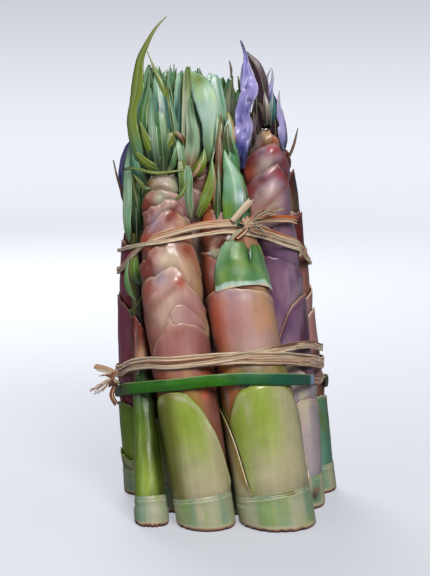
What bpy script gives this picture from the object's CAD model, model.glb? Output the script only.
"""Finish of a tied bundle of ten bamboo shoots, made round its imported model.

The tables below are in millimetres, in the frame of the part's own source: +Z is up and -Y is
the front. Angles round a shoot are degrees from its front, positive towards +X. MIDDLE is the
point of that frame that the bundle's origin stands on.
"""

import bisect
import functools
import math
import random

import bmesh
import bpy
from mathutils import Matrix, Vector, noise


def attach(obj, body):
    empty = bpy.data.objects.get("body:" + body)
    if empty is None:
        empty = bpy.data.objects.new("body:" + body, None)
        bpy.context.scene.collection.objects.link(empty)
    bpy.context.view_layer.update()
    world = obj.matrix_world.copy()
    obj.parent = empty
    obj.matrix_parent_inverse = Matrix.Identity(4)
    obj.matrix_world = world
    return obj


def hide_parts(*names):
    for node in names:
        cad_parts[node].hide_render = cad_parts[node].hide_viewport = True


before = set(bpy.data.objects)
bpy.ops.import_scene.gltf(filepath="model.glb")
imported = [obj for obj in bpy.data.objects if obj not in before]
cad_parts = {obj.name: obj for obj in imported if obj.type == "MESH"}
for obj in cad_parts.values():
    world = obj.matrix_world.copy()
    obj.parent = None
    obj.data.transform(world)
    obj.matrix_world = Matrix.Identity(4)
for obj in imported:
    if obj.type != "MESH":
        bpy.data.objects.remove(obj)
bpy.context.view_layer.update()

bl_info = {
    "name": "Bamboo shoot bundle",
    "version": (1, 0, 0),
    "blender": (4, 5, 0),
    "location": "3D View > Sidebar > Bundle",
    "description": "Makes the sheaths, leaves and raffia ties of a bundle of bamboo shoots",
    "category": "Add Mesh",
}

# ---- the bundle's own sizes, in millimetres -----------------------------------------------

MIDDLE = Vector((-7.3, 2.7, 0))
MM = 0.001
LIP = 1.2  # how far a sheath's free edge stands out from the next one
MIN_STEP = 1.2  # least height of a sheath that shows
GAP = 0.35  # clear space between neighbouring pieces
CULM_SET_BACK = 0.9  # how far the culm lies inside its sheaths
CULM_FOOT = 5  # the culm's wall runs straight down from this far below its ring
TUCK = 9  # length of a sheath that goes down inside the one below
LAP = 34  # degrees by which a sheath's outer margin passes its inner one
MARGIN_LEAN = 14  # degrees by which a sheath's margins turn on their way up
EDGE_SWAY = 0.5  # how far a free edge sways three times on its way round
FOLD = 0.22  # lift of a blade's midrib, as a part of its half width
TIE_CLEARANCE = 0.55
TIE_HALF_WIDTH = 3.5
SECOND_STRAND = 0.7  # how much farther out a second strand lies
WELD = 0.01  # points closer than this are joined
TINY = 1e-9

# The colours of the shoots, leaves and ties, and of the studio, as sRGB.
PALETTE = {
    "cream": "#c8c4a0",
    "cream_green": "#bab28e",
    "leek": "#94a840",
    "bright_green": "#6f9018",
    "olive": "#6c6c1e",
    "dark_olive": "#2c3410",
    "gold": "#ab8436",
    "salmon": "#c05a36",
    "rust": "#8e341c",
    "crimson": "#6a1a18",
    "pink": "#a46a62",
    "pale_pink": "#c49c94",
    "ash_pink": "#c8aea8",
    "rose_pink": "#b47e7e",
    "tan": "#c49c78",
    "apricot": "#c4906c",
    "shell": "#ccac9a",
    "rose_brown": "#8c5448",
    "mauve": "#86647a",
    "magenta": "#9a3e5c",
    "wine": "#a03846",
    "lilac": "#a68c9e",
    "violet": "#64436a",
    "plum": "#4c2038",
    "lavender_grey": "#b0a6ae",
    "wax_grey": "#a4aa8c",
    "teal_wax": "#8fb8a2",
    "dark_brown": "#24120e",
    "leaf": "#4f8446",
    "leaf_dark": "#2c5528",
    "leaf_olive": "#66790e",
    "leaf_blue": "#4f8a70",
    "leaf_teal": "#3c7c74",
    "mint": "#8eb896",
    "pale_mint": "#bcd8cc",
    "leaf_lavender": "#8f8ad0",
    "leaf_indigo": "#3c4494",
    "pale_lavender": "#a49cd8",
    "navy": "#141c3c",
    "deep_green": "#12240e",
    "grey_mint": "#94b494",
    "taupe": "#8c7c78",
    "pale_leaf": "#b4c88c",
    "frost": "#c4d4dc",
    "straw": "#d0ab8c",
    "pale_straw": "#e2ceb0",
    "orange_straw": "#c0622a",
    "brown_straw": "#7c4a30",
    "strip_green": "#2e7208",
    "strip_teal": "#165a44",
    "strip_blue": "#90a8cc",
    "pale_rib": "#cedaad",
    "paper": "#e7eaf3",
    "sky": "#eff1f9",
    "warm_light": "#fffdf9",
    "cool_light": "#f7faff",
    "white_light": "#ffffff",
}

# How each kind of sheath is coloured: low and high along it, then its left and right sides,
# the rim of its free edge, the patches on it, and how much of it they cover.
SHEATH_LOOKS = {
    "green_base": ("cream_green", "leek", "olive", "cream_green", "leek", "cream", 0.25),
    "green_dome": ("cream_green", "leek", "leek", "cream_green", "leek", "cream_green", 0.2),
    "thin_green": ("leek", "bright_green", "bright_green", "dark_olive", "olive",
                   "leaf_olive", 0.3),
    "outer_margin": ("cream_green", "olive", "cream_green", "gold", "pale_straw", "gold", 0.4),
    "gold_pink": ("gold", "rose_pink", "rust", "rose_brown", "pale_straw", "pink", 0.45),
    "smooth_pink": ("olive", "pale_pink", "salmon", "tan", "pale_straw", "lilac", 0.4),
    "pink": ("ash_pink", "rose_pink", "rust", "rose_pink", "pale_straw", "pale_pink", 0.25),
    "lilac_pink": ("shell", "pale_pink", "rust", "tan", "pale_straw", "rose_pink", 0.2),
    "bud": ("wax_grey", "cream_green", "olive", "wax_grey", "cream", "ash_pink", 0.3),
    "lavender": ("lavender_grey", "ash_pink", "pale_pink", "lavender_grey", "pale_pink",
                 "cream", 0.3),
    "mauve": ("mauve", "mauve", "crimson", "lilac", "rose_brown", "violet", 0.45),
    "purple": ("lilac", "violet", "violet", "mauve", "tan", "plum", 0.4),
    "plum_fold": ("ash_pink", "lilac", "rust", "mauve", "pale_pink", "wine", 0.15),
    "magenta_fold": ("rose_pink", "magenta", "magenta", "wine", "tan", "wine", 0.3),
    "cap": ("rose_brown", "taupe", "taupe", "taupe", "tan", "tan", 0.3),
    "dark_olive": ("dark_brown", "dark_olive", "olive", "dark_brown", "olive", "dark_brown", 0.4),
    "brown_orange": ("rust", "salmon", "rust", "tan", "tan", "crimson", 0.4),
    "red_brown": ("tan", "rust", "crimson", "dark_brown", "rose_brown", "dark_brown", 0.4),
    "teal_base": ("teal_wax", "olive", "olive", "leaf_blue", "cream", "olive", 0.4),
    "dark_red": ("plum", "crimson", "wine", "crimson", "rose_brown", "dark_brown", 0.4),
}
BASE_LOOKS = ("green_base", "green_dome", "outer_margin", "thin_green")  # turn colour low down
BANDED_LOOK = "plum_fold"  # has the widest and darkest bands along its free edges

# How each kind of leaf is coloured: its root, its middle, its tip, its edges and its patches.
LEAF_LOOKS = {
    "long_olive": ("leaf_blue", "leaf_olive", "olive", "leaf_olive", "leaf_olive"),
    "deep": ("deep_green", "leaf_dark", "leaf", "leaf", "deep_green"),
    "grey_mint": ("leaf", "grey_mint", "leaf_blue", "pale_leaf", "leaf_blue"),
    "pale_olive": ("leaf", "pale_leaf", "leaf_olive", "leaf_olive", "leaf"),
    "mint_olive": ("grey_mint", "leaf_olive", "olive", "pale_leaf", "leaf"),
    "brown_olive": ("leaf_olive", "brown_straw", "olive", "gold", "dark_brown"),
    "olive_grey": ("leaf", "wax_grey", "leaf_olive", "pale_leaf", "leaf_dark"),
    "broad_mint": ("leaf", "mint", "mint", "frost", "pale_leaf"),
    "pale_mint": ("leaf_blue", "mint", "pale_mint", "pale_mint", "leaf_blue"),
    "peach": ("tan", "tan", "leaf_olive", "gold", "rose_brown"),
    "deep_olive": ("leaf", "leaf_dark", "olive", "leaf_olive", "dark_olive"),
    "pale_lavender": ("leaf_indigo", "pale_lavender", "lavender_grey", "lavender_grey",
                      "leaf_lavender"),
    "taupe": ("dark_brown", "taupe", "lavender_grey", "tan", "dark_brown"),
    "dark_teal": ("navy", "leaf_teal", "leaf_indigo", "leaf_indigo", "navy"),
    "blue": ("navy", "leaf_indigo", "leaf_indigo", "leaf_lavender", "navy"),
    "olive": ("leaf", "leaf_olive", "leaf_olive", "pale_leaf", "leaf_olive"),
    "green": ("pale_leaf", "leaf", "leaf_blue", "pale_leaf", "leaf_dark"),
    "blue_green": ("leaf", "leaf_blue", "mint", "pale_leaf", "leaf_dark"),
    "teal": ("leaf_dark", "leaf_teal", "mint", "pale_leaf", "deep_green"),
    "mint": ("leek", "mint", "pale_mint", "pale_straw", "leaf"),
    "wide_mint": ("leaf_blue", "leaf_blue", "mint", "leaf_olive", "leaf"),
    "grey_green": ("tan", "grey_mint", "leaf", "cream", "leaf_dark"),
    "lavender": ("leaf_indigo", "pale_lavender", "pale_lavender", "lavender_grey",
                 "leaf_lavender"),
    "flap": ("pale_pink", "cream", "frost", "cream", "tan"),
    "gold_green": ("olive", "leaf_olive", "leaf", "gold", "bright_green"),
    "dark": ("dark_brown", "dark_brown", "dark_brown", "mauve", "plum"),
    "pale": ("cream_green", "grey_mint", "mint", "cream", "leaf"),
    "whisker": ("olive", "rose_brown", "dark_brown", "gold", "dark_brown"),
}

# How the width of a blade goes from its root to its tip, as parts of its greatest width.
PROFILES = {
    "spear": [(0, 0.25), (0.12, 0.7), (0.3, 1), (0.55, 0.85), (0.8, 0.45), (1, 0.02)],
    "strap": [(0, 0.25), (0.12, 0.7), (0.3, 0.95), (0.75, 1), (0.92, 0.8), (1, 0.3)],
    "long": [(0, 0.6), (0.16, 0.93), (0.29, 0.8), (0.39, 0.62), (0.5, 0.92), (0.61, 0.76),
             (0.7, 0.54), (0.8, 0.32), (0.93, 0.15), (1, 0.02)],
    "wavy": [(0, 0.15), (0.06, 0.5), (0.18, 0.8), (0.25, 1), (0.35, 0.94), (0.42, 0.8),
             (0.49, 0.77), (0.55, 0.83), (0.64, 0.97), (0.73, 0.68), (0.83, 0.29), (0.91, 0.14),
             (1, 0.05)],
    "broad": [(0, 0.2), (0.2, 0.6), (0.4, 0.66), (0.55, 0.9), (0.72, 1), (0.86, 0.7), (1, 0.1)],
    "spade": [(0, 0.9), (0.35, 1), (0.62, 0.72), (0.82, 0.37), (1, 0.02)],
    "hook": [(0, 0.4), (0.3, 0.6), (0.55, 1), (0.8, 0.95), (1, 0.15)],
    "low": [(0, 0.3), (0.1, 0.75), (0.25, 1), (0.5, 0.85), (0.75, 0.5), (1, 0.05)],
    "lance": [(0, 0.3), (0.3, 1), (0.7, 0.95), (0.88, 0.7), (1, 0.08)],
    "thread": [(0, 0.8), (0.5, 1), (1, 0.1)],
}

# One row for each shoot. Sheaths and blades are counted from 0.
# ring, top: heights of its node ring and of the end of its sheaths; columns: faces round a
# sheath; slot, tuft: what its sheaths and its blades are made of; crown: look of its last sheath.
# axis: points (x, y, z) on its centre line; radius: (z, r) of its outer surface.
# sheaths: (top z, direction it points in, how far it drops behind, sharpness, look).
# puff: the lowest sheath that swells between its edges.
# lines: (degrees, z) of the free edge of a sheath, where it runs unevenly.
# ridges: (sheath, z, degrees, z, degrees, half width, height) of a fold between two points.
# leaves: (points of a blade of the tuft from its root, width, look, profile).
# spots: (part of its length, place across, radius, colour) of single marks on a blade.
# fill: (count, root z, tip z, spread, width, first angle, looks) of a ring of blades.
# blotches: (z, degrees, radius, colour) of single marks on the sheaths and the culm.
SHOOTS = {
    "front_left": {
        "ring": 15, "top": 196, "columns": 132, "slot": "sheath_pink", "tuft": "leaf_green",
        "crown": "bud", "puff": 3,
        "axis": [(-12.5, -36, 0), (-23, -27, 69), (-31, -20, 124), (-36, -13, 179),
                 (-38, -10, 215)],
        "radius": [(0, 17.3), (130, 16.8), (157, 13.8), (179, 11.6), (187, 9.6), (192, 6.6),
                   (196, 3)],
        "sheaths": [
            (75.5, -30, 84, 1.25, "green_base"), (111.5, 12, 57, 1.3, "gold_pink"),
            (122, 12, 122, 1, "pink"), (140.5, -20, 36, 1, "lilac_pink"),
            (156, 10, 28, 1, "lilac_pink"), (173.5, 5, 26, 1, "lilac_pink"),
            (179, 2, 27, 1, "pink"), (185, -5, 10, 1, "pink"),
        ],
        "lines": {
            1: [(-62, 96), (-44, 103), (-29, 106), (-14, 111), (-9, 115), (-4, 111), (16, 111.5),
                (40, 109), (58, 106), (79, 102)],
            2: [(-44, 104.5), (-29, 108), (-14, 114), (-5, 118), (7, 121), (19, 121), (37, 117),
                (55, 112), (73, 107.5), (85, 103)],
            3: [(-86, 130), (-68, 134), (-41, 138), (-29, 138), (-11, 141), (5, 143), (16, 142),
                (23, 138), (34, 131), (52, 126), (64, 122), (70, 120)],
            4: [(-75, 145), (-60, 147), (-47, 147), (-44, 151), (-23, 154), (-6, 153), (5, 156),
                (28, 157), (52, 154), (74, 149), (80, 145)],
            5: [(-86, 159), (-53, 165), (-26, 168), (-8, 172.5), (16, 173.5), (37, 171),
                (67, 166), (76, 162)],
            6: [(-86, 173), (-50, 174), (-35, 176), (-8, 177), (4, 179.5), (25, 179), (52, 174.5),
                (61, 170)],
            7: [(-86, 178), (-59, 182), (-32, 185), (-5, 185), (19, 184), (49, 181.5)],
        },
        "ridges": [
            (3, 138, 26, 123, -50, 2.6, 1.5), (4, 152, 62, 138, 78, 3, 1.2),
            (4, 152, -40, 142, -72, 3, 1), (5, 171, 5, 158, -62, 3.2, 1.6),
            (5, 166, 40, 156, 64, 3, 1.2), (6, 177, 30, 165, -50, 2.4, 1.4),
            (7, 183, -40, 174, -74, 2.4, 1.2), (8, 190, -40, 186, 40, 2, 1),
        ],
        "leaves": [
            ([(-48.5, -16, 198), (-51.5, -17, 211.5), (-53.5, -16, 222), (-53, -15, 230.5),
              (-51, -14, 239.5), (-50, -13, 248.5), (-49, -12, 256.5), (-46, -12, 264),
              (-40, -11, 274.5), (-34.5, -10, 280.3)], 7.6, "long_olive", "long"),
            ([(-33, -13, 196), (-35, -14, 229.5), (-36.5, -15, 241.5), (-41, -14, 251.5),
              (-45, -13, 261.5)], 4.2, "olive", "spear"),
            ([(-43.5, -10, 198), (-46.5, -9, 222.5), (-46.5, -9, 238.5), (-44, -9, 254)],
             5.5, "blue_green", "strap"),
            ([(-44.5, -14, 197), (-47.5, -15, 217.5), (-47, -14, 229.5), (-45.5, -13, 237),
              (-43.5, -12, 251)], 6, "green", "spear"),
            ([(-38, -12, 197), (-40, -12, 220), (-41.5, -12, 231), (-43, -11, 252.5)],
             3, "deep", "spear"),
            ([(-36, -13, 196), (-35, -15, 213), (-36, -15, 225), (-37.5, -14, 235.5),
              (-39.5, -13, 243.5)], 8, "grey_mint", "strap"),
            ([(-39, -15, 197), (-42, -16, 210.5), (-43.5, -16, 220), (-44.5, -15, 229.5),
              (-43.5, -14, 237)], 8, "pale_olive", "spear"),
            ([(-40, -17, 197), (-42, -19, 205.5), (-45.5, -19, 213.5), (-49, -18, 223)],
             6, "olive", "spear"),
            ([(-40, -18, 197), (-37.5, -20, 204.5), (-34.5, -20, 210.5), (-31, -19, 217)],
             5.6, "mint_olive", "strap"),
            ([(-37.5, -18, 196), (-43.5, -19, 199), (-48.5, -18, 203), (-53, -16, 209)],
             4.8, "olive", "spear"),
            ([(-34, -18, 195), (-31, -19, 200), (-30, -19, 205), (-29, -18, 211)],
             3.2, "green", "spear"),
            ([(-25.5, -16, 194), (-26, -18, 202), (-27, -18, 208.5), (-28, -17, 213)],
             4.6, "pale", "strap"),
            ([(-25, -17, 210), (-26, -19, 214), (-28.5, -19, 216.5), (-31, -19, 217)],
             2.8, "brown_olive", "strap"),
            ([(-22, -12, 195.5), (-20.5, -14, 206.5), (-20, -14, 215), (-21.5, -13, 226),
              (-22.5, -11, 242.5)], 9, "grey_green", "low"),
            ([(-24, -12, 201.5), (-24, -13, 220), (-23.5, -12, 235.5), (-23, -10, 253)],
             5.4, "olive_grey", "strap"),
            ([(-28, -10, 199), (-28.5, -11, 220), (-28, -11, 232), (-27.5, -9, 249.5)],
             6, "teal", "strap"),
            ([(-46, -8, 200), (-49.5, -9, 218), (-50, -9, 232), (-48.5, -9, 246)],
             6, "blue_green", "strap"),
            ([(-33, -8, 199), (-34, -8, 231), (-33.5, -8, 244.5), (-32.5, -7, 254)],
             5.4, "green", "spear"),
            ([(-30.5, -7, 199), (-31, -7, 231), (-30.5, -6, 254.5)], 4.4, "deep", "spear"),
            ([(-35.5, -6, 199), (-36.5, -6, 236.5), (-34, -6, 251.5)], 7, "blue_green", "spear"),
            ([(-47, -14, 188.5), (-50.5, -15, 195), (-52.5, -15, 202), (-53.5, -14, 209.5)],
             5.2, "blue_green", "spear"),
            ([(-43.5, -18, 186), (-47, -18, 186.5), (-50.5, -17, 191), (-53, -15, 194)],
             3, "olive", "spear"),
            ([(-27, -19, 182.5), (-25, -20, 188.5), (-25.5, -20, 194.5), (-26.5, -19, 202)],
             5.4, "mint_olive", "strap"),
            ([(-34, -22, 180), (-30, -22, 180.5), (-26.5, -22, 183), (-24, -21, 187.5),
              (-22, -20, 193.5)], 1.8, "olive", "thread"),
            ([(-58, -15, 196.5), (-53.5, -19, 197.5), (-49, -21, 197), (-44, -22, 195.5),
              (-38, -22, 195), (-30, -22, 196), (-19, -19, 197)], 1.7, "olive", "thread"),
        ],
        "fill": [(13, 191, 238, 10, 6, 10,
                  ("green", "deep", "grey_mint", "deep_olive", "pale_olive")),
                 (11, 192, 250, 9, 6.5, 30,
                  ("teal", "deep_olive", "green", "deep", "grey_mint")),
                 (7, 193, 252, 5, 7, 50, ("deep", "teal", "green"))],
        "blotches": [
            (130, -62, 6, "salmon"), (151, 42, 5, "rust"), (80, 50, 4, "salmon"),
            (133, 20, 3, "salmon"), (145, -48, 4.4, "crimson"), (153, 6, 3.5, "rose_brown"),
            (166, -25, 5, "lilac"), (169, 8, 2.6, "crimson"), (106, 4, 3.6, "rust"),
            (78, -32, 4, "rose_brown"), (172, 22, 2, "rust"), (128, 62, 2.4, "gold"),
            (120, -74, 8, "rust"), (109, -18, 2.4, "orange_straw"), (101, -20, 12, "pink"),
            (164, -72, 6, "rust"), (178, -66, 5, "rust"), (118, -18, 9, "shell"),
            (146, 4, 5, "pale_straw"), (118, 38, 9, "rose_pink"), (137, -18, 3.6, "lilac"),
            (158, -52, 4, "salmon"), (77, 28, 3, "rust"), (72, 42, 3, "salmon"),
            (192, 0, 5, "ash_pink"), (182, -10, 4, "wax_grey"),
        ],
    },
    "front_right": {
        "ring": 17, "top": 177, "columns": 144, "slot": "sheath_pink", "tuft": "leaf_mint",
        "crown": "pink", "puff": 4,
        "axis": [(27.5, -33, 0), (16, -25, 68), (5.7, -17.5, 124), (-1, -13, 158), (-3, -10, 176),
                 (-1, -7, 215)],
        "radius": [(0, 22.2), (68, 21.3), (96, 18.7), (124, 18.5), (146, 17), (157, 15),
                   (176, 10.5)],
        "sheaths": [
            (66, 210, 250, 5, "outer_margin"), (78.5, 14, 130, 1.6, "green_dome"),
            (131.5, -22, 18, 1, "smooth_pink"), (153, -40, 14, 1, "brown_orange"),
            (162, 70, 10, 1, "brown_orange"), (172.5, -25, 9, 1, "lilac_pink"),
        ],
        "leaves": [
            ([(4, -23.4, 166), (3.6, -24, 177), (3.2, -22.6, 185), (1.5, -21, 194),
              (-1, -20, 201), (-2.6, -18, 207.5)], 15, "wide_mint", "spade"),
            ([(9.6, -22.6, 167), (9.6, -23.4, 178), (8.2, -22.4, 185), (6, -21.6, 191)],
             4.6, "deep_olive", "spear"),
            ([(-6.3, -22.5, 167), (-6, -22.5, 182), (-5.8, -20.5, 192), (-6, -19, 200)],
             3.4, "deep_olive", "spear"),
            ([(-4.5, -29.2, 149.6), (-8, -28.4, 151.2), (-11.8, -26, 150.8)],
             5.4, "flap", "low"),
            ([(-2, -12, 186), (0.5, -13, 200), (0, -14, 208), (-1, -14, 215), (-0.5, -13, 222)],
             8, "deep_olive", "spear"),
            ([(2.5, -8, 200), (1.5, -9, 217.5), (0.5, -9, 223), (-1, -8, 228)],
             3.6, "peach", "strap"),
            ([(-7.5, -21.5, 172), (-8, -21.5, 184), (-8.5, -19, 196), (-9.5, -17, 203)],
             2.8, "brown_olive", "spear"),
            ([(-17, -20.5, 170), (-14, -21.5, 178), (-11, -21, 186), (-9.6, -20, 194),
              (-9.4, -18, 203)], 6.6, "gold_green", "spear"),
            ([(-18, -21, 171.5), (-15.4, -22, 178), (-12.6, -21.6, 185)],
             2, "gold_green", "spear"),
            ([(-5.6, -17, 184), (-5.6, -16, 198), (-5.5, -14, 211), (-5, -11, 224)],
             4, "brown_olive", "spear"),
            ([(-3, -8, 182.5), (-4, -8, 201.5), (-5, -8, 213.5), (-4, -8, 227.5)],
             7, "brown_olive", "spear"),
        ],
        "spots": {0: [(0.2, 0.7, 6, "bright_green"), (0.42, 0.7, 4, "leaf"),
                      (0.36, -0.5, 3.4, "frost"), (0.6, 0.1, 5, "mint")]},
        "fill": [(6, 169, 212, 8, 8, 30, ("green", "mint", "deep")),
                 (5, 180, 224, 5, 7, 10, ("mint", "deep"))],
        "blotches": [
            (136, -70, 7, "rust"), (172, -55, 5, "orange_straw"), (166, -60, 5, "orange_straw"),
            (92, -45, 6, "gold"), (112, -8, 12, "rose_pink"), (112, 48, 12, "apricot"),
            (97, 8, 9, "pale_pink"),
            (115, -60, 9, "salmon"), (140, -35, 5, "pale_pink"), (85, 60, 7, "olive"),
            (62, -80, 14, "olive"), (152, -35, 3, "pale_straw"), (157, 6, 6, "dark_brown"),
        ],
    },
    "right_side": {
        "ring": 16, "top": 218, "columns": 120, "slot": "sheath_purple", "tuft": "leaf_violet",
        "crown": "cap", "puff": 4,
        "axis": [(40.5, 6, 0), (35, 10, 62), (28.4, 12.5, 120), (21.5, 10, 178), (21.5, 9, 218),
                 (18, 9, 260)],
        "radius": [(0, 17.2), (62, 17), (120, 16.4), (178, 13.6), (200, 12), (208, 9.6),
                   (214, 7), (218, 4)],
        "sheaths": [
            (62, 40, 34, 1, "lavender"), (93, -60, 26, 1, "lavender"),
            (121, 90, 97, 2.5, "purple"), (149, -30, 24, 1, "mauve"), (166, 60, 16, 1, "mauve"),
            (201, 42, 27, 1, "plum_fold"), (210, 30, 16, 1, "plum_fold"),
        ],
        "lines": {
            5: [(-84, 181), (-59, 186), (-35, 191), (-14, 194), (13, 198), (28, 199.5),
                (49, 195), (67, 189), (86, 184)],
            6: [(-92, 198), (-62, 203), (-32, 207), (-2, 210), (31, 210.5), (58, 205),
                (88, 199)],
        },
        "ridges": [
            (5, 197, 26, 184, -50, 1.8, 1.3), (5, 188, 40, 174, -30, 3, 0.8),
            (6, 208, 26, 200, -50, 1.6, 1.2),
        ],
        "leaves": [
            ([(20, 4, 220), (20.5, 3, 227), (20.5, 3, 235), (19, 3, 243.5), (16, 3, 252),
              (10, 4, 261)], 6.2, "dark", "hook"),
            ([(17, 3, 216), (16, 1, 225.5), (15.5, 0, 236)], 5.4, "dark", "spear"),
            ([(13.5, 4, 209), (13, 2, 217), (14, 1, 226)], 5.4, "dark", "spear"),
            ([(20.5, 0, 220), (19.5, -2, 226), (17, -3, 233)], 3.6, "dark", "spear"),
            ([(22, 4, 225), (21.5, 4, 242), (21.5, 4, 247), (24, 4, 252.5)],
             2.8, "pale_lavender", "spear"),
            ([(23.5, 4, 225), (23.5, 4, 240), (24.5, 4, 246.5), (24.5, 4, 252)],
             3.2, "pale_lavender", "spear"),
            ([(21.5, -1, 220.5), (21, -3, 229), (20, -2, 239)], 4.8, "taupe", "spear"),
            ([(23.5, 0, 220), (24, -2, 228.5), (24.5, -1, 235.5), (24, 0, 240.5)],
             5, "dark_teal", "spear"),
            ([(26.5, 4, 213), (26, 2, 221.5), (25.5, 1, 227.5)], 5.6, "dark", "spear"),
            ([(31, 3, 206), (30, 3, 215), (29, 4, 223.5), (28, 4, 232), (28.5, 5, 239.5)],
             4.6, "pale_lavender", "spear"),
            ([(12.5, 1, 208), (13, 0, 215), (14, 1, 225), (15, 2, 236.5)], 4.6, "dark", "spear"),
            ([(27, 8, 214.5), (26.5, 9, 226.5), (25, 9, 235.5), (23, 9, 240)], 8, "dark", "spear"),
        ],
        "fill": [(7, 219.5, 241, 5, 5.5, 20, ("dark", "dark_teal", "dark"))],
        "blotches": [
            (212, 34, 2, "orange_straw"), (152, -10, 7, "plum"), (148, 20, 9, "violet"),
            (192, 62, 4, "crimson"), (206.5, 22, 2.4, "wine"), (204, -16, 2.6, "plum"),
            (190.5, -10, 3, "plum"), (185, -42, 3.6, "wine"), (193, 34, 2.8, "wine"),
            (193, -60, 4, "salmon"), (200, 2, 3.4, "ash_pink"), (200, 48, 3.4, "crimson"),
            (182, 8, 6, "ash_pink"), (174, -10, 8, "pale_pink"), (160, 30, 12, "mauve"),
            (78, -34, 4, "crimson"), (70, -46, 3, "rust"), (8, 37, 3.2, "dark_brown"),
            (12, 46, 3, "rose_brown"),
        ],
    },
    "thin_left": {
        "ring": 13, "top": 160, "columns": 72, "slot": "sheath_green", "tuft": "leaf_green",
        "crown": "dark_olive",
        "axis": [(-43, -34, 0), (-47, -22, 55), (-49.5, -12, 98), (-51, -6, 133), (-51.5, -5, 165),
                 (-51, -5, 200)],
        "radius": [(0, 10.6), (20, 9.4), (55, 6.4), (98, 5.8), (133, 5), (160, 3.8)],
        "sheaths": [
            (76, -50, 14, 1, "thin_green"), (88, 60, 16, 1, "dark_olive"),
            (113, -40, 26, 1, "red_brown"), (128, 90, 12, 1, "dark_olive"),
            (140, -50, 10, 1, "dark_olive"),
        ],
        "leaves": [
            ([(-56, -7, 155), (-57, -9, 165.5), (-56.5, -10, 183), (-56, -10, 195.5),
              (-54.5, -10, 205), (-53.5, -10, 212.5)], 5.4, "grey_mint", "strap"),
            ([(-50.5, -7, 156), (-50, -9, 165.5), (-51, -11, 176.5), (-52.5, -11, 184),
              (-53.5, -11, 193)], 4.6, "deep_olive", "spear"),
            ([(-53.5, -5, 154), (-54, -5, 165), (-55, -6, 176.5), (-55, -6, 189),
              (-53.5, -5, 201)], 6, "blue_green", "spear"),
            ([(-50, -10.8, 131.5), (-53, -12.5, 139.5), (-52.6, -13, 146), (-50.5, -12, 152)],
             6, "mint_olive", "spear"),
            ([(-52.5, -10.4, 122.5), (-56.3, -12, 129), (-57.5, -12.5, 137), (-56, -11, 146)],
             3.2, "green", "spear"),
            ([(-52, -3, 164.5), (-52.5, -2, 182), (-51.5, -2, 194.5), (-50.5, -2, 204)],
             7, "deep", "spear"),
        ],
        "fill": [(6, 156, 194, 5.5, 5.5, 0, ("deep", "green", "blue_green"))],
        "blotches": [(40, 62, 10, "dark_olive"), (60, 60, 10, "dark_olive"),
                     (72, -10, 11, "leaf_dark")],
    },
    "middle": {
        "ring": 16, "top": 198, "columns": 96, "slot": "sheath_pink", "tuft": "leaf_mint",
        "crown": "pink", "puff": 4,
        "axis": [(0.5, -5.2, 0), (-8, 3, 62), (-14, 9.5, 124), (-18, 7.5, 178), (-17, 8, 215)],
        "radius": [(0, 15.6), (62, 15.2), (124, 14.6), (178, 10.6), (190, 8.8), (198, 6)],
        "sheaths": [
            (70, -30, 34, 1, "green_base"), (104, 150, 28, 1, "gold_pink"),
            (138, -20, 28, 1, "pink"), (164, 160, 20, 1, "pink"), (184, -10, 16, 1, "pink"),
            (192, 20, 10, 1, "lilac_pink"),
        ],
        "leaves": [
            ([(-10.5, -4, 199), (-10.5, -7, 210), (-10.5, -8.5, 221), (-11.8, -9, 231),
              (-14, -8, 239), (-17.5, -6, 245), (-22, -3, 250.5)], 13.5, "broad_mint", "broad"),
            ([(-4, -2, 210), (-5, -2, 229.5), (-6.5, -1, 239), (-8, 0, 248.5)],
             7.4, "pale_mint", "strap"),
            ([(-5.5, 0, 206), (-9.5, 0, 232), (-10.5, 1, 241), (-10.5, 2, 249.5)],
             6, "pale_mint", "strap"),
            ([(-6.5, -10, 203), (-6, -11, 209), (-6, -10, 220), (-7, -8, 230.5)],
             3.6, "grey_green", "spear"),
            ([(-22, -10, 192), (-18.5, -12, 195), (-15, -12, 200), (-13.5, -10, 208)],
             6.4, "gold_green", "spear"),
            ([(-22, -11, 190), (-20, -13, 193), (-17, -13, 197), (-15.5, -12, 203)],
             2.6, "peach", "spear"),
        ],
        "spots": {0: [(0.86, -0.2, 4, "leaf_olive"), (0.5, 0.2, 8, "pale_mint")]},
        "fill": [(8, 192, 243, 9, 9, 0, ("mint", "green", "deep", "teal")),
                 (8, 193, 251, 7, 8, 30, ("deep", "blue_green", "mint", "green"))],
        "blotches": [(190, -10, 4, "rust"), (178, 0, 5, "pale_pink")],
    },
    "inner_left": {
        "ring": 15, "top": 184, "columns": 72, "slot": "sheath_green", "tuft": "leaf_green",
        "crown": "dark_olive",
        "axis": [(-33, -4, 0), (-38, 0, 62), (-41, 8, 124), (-40, 10, 178), (-41, 10, 205)],
        "radius": [(0, 12.2), (62, 11.8), (124, 11.2), (170, 9), (184, 5.6)],
        "sheaths": [
            (66, -90, 30, 1, "green_base"), (104, 90, 28, 1, "dark_olive"),
            (140, -80, 24, 1, "brown_orange"), (162, 90, 18, 1, "dark_olive"),
            (176, -70, 12, 1, "thin_green"),
        ],
        "fill": [(8, 180, 236, 9, 10, 20, ("deep", "blue_green", "green")),
                 (9, 182, 251, 9, 9, 45, ("green", "deep", "blue_green", "teal"))],
    },
    "back_left": {
        "ring": 15, "top": 170, "columns": 96, "slot": "sheath_purple", "tuft": "leaf_violet",
        "crown": "dark_red",
        "axis": [(-50, 33, 0), (-52.5, 33, 62), (-52.5, 34, 124), (-50, 32, 170), (-49, 31, 205)],
        "radius": [(0, 13.3), (62, 13), (124, 12.8), (151, 11.6), (162, 8.5), (170, 5.6)],
        "sheaths": [
            (26, -110, 8, 1, "green_base"), (57, -60, 24, 1, "thin_green"),
            (86, 120, 20, 1, "dark_red"), (119, -90, 22, 1, "magenta_fold"),
            (134, 100, 16, 1, "dark_red"), (152, -80, 18, 1, "magenta_fold"),
            (163, 90, 8, 1, "dark_red"),
        ],
        "leaves": [
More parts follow.
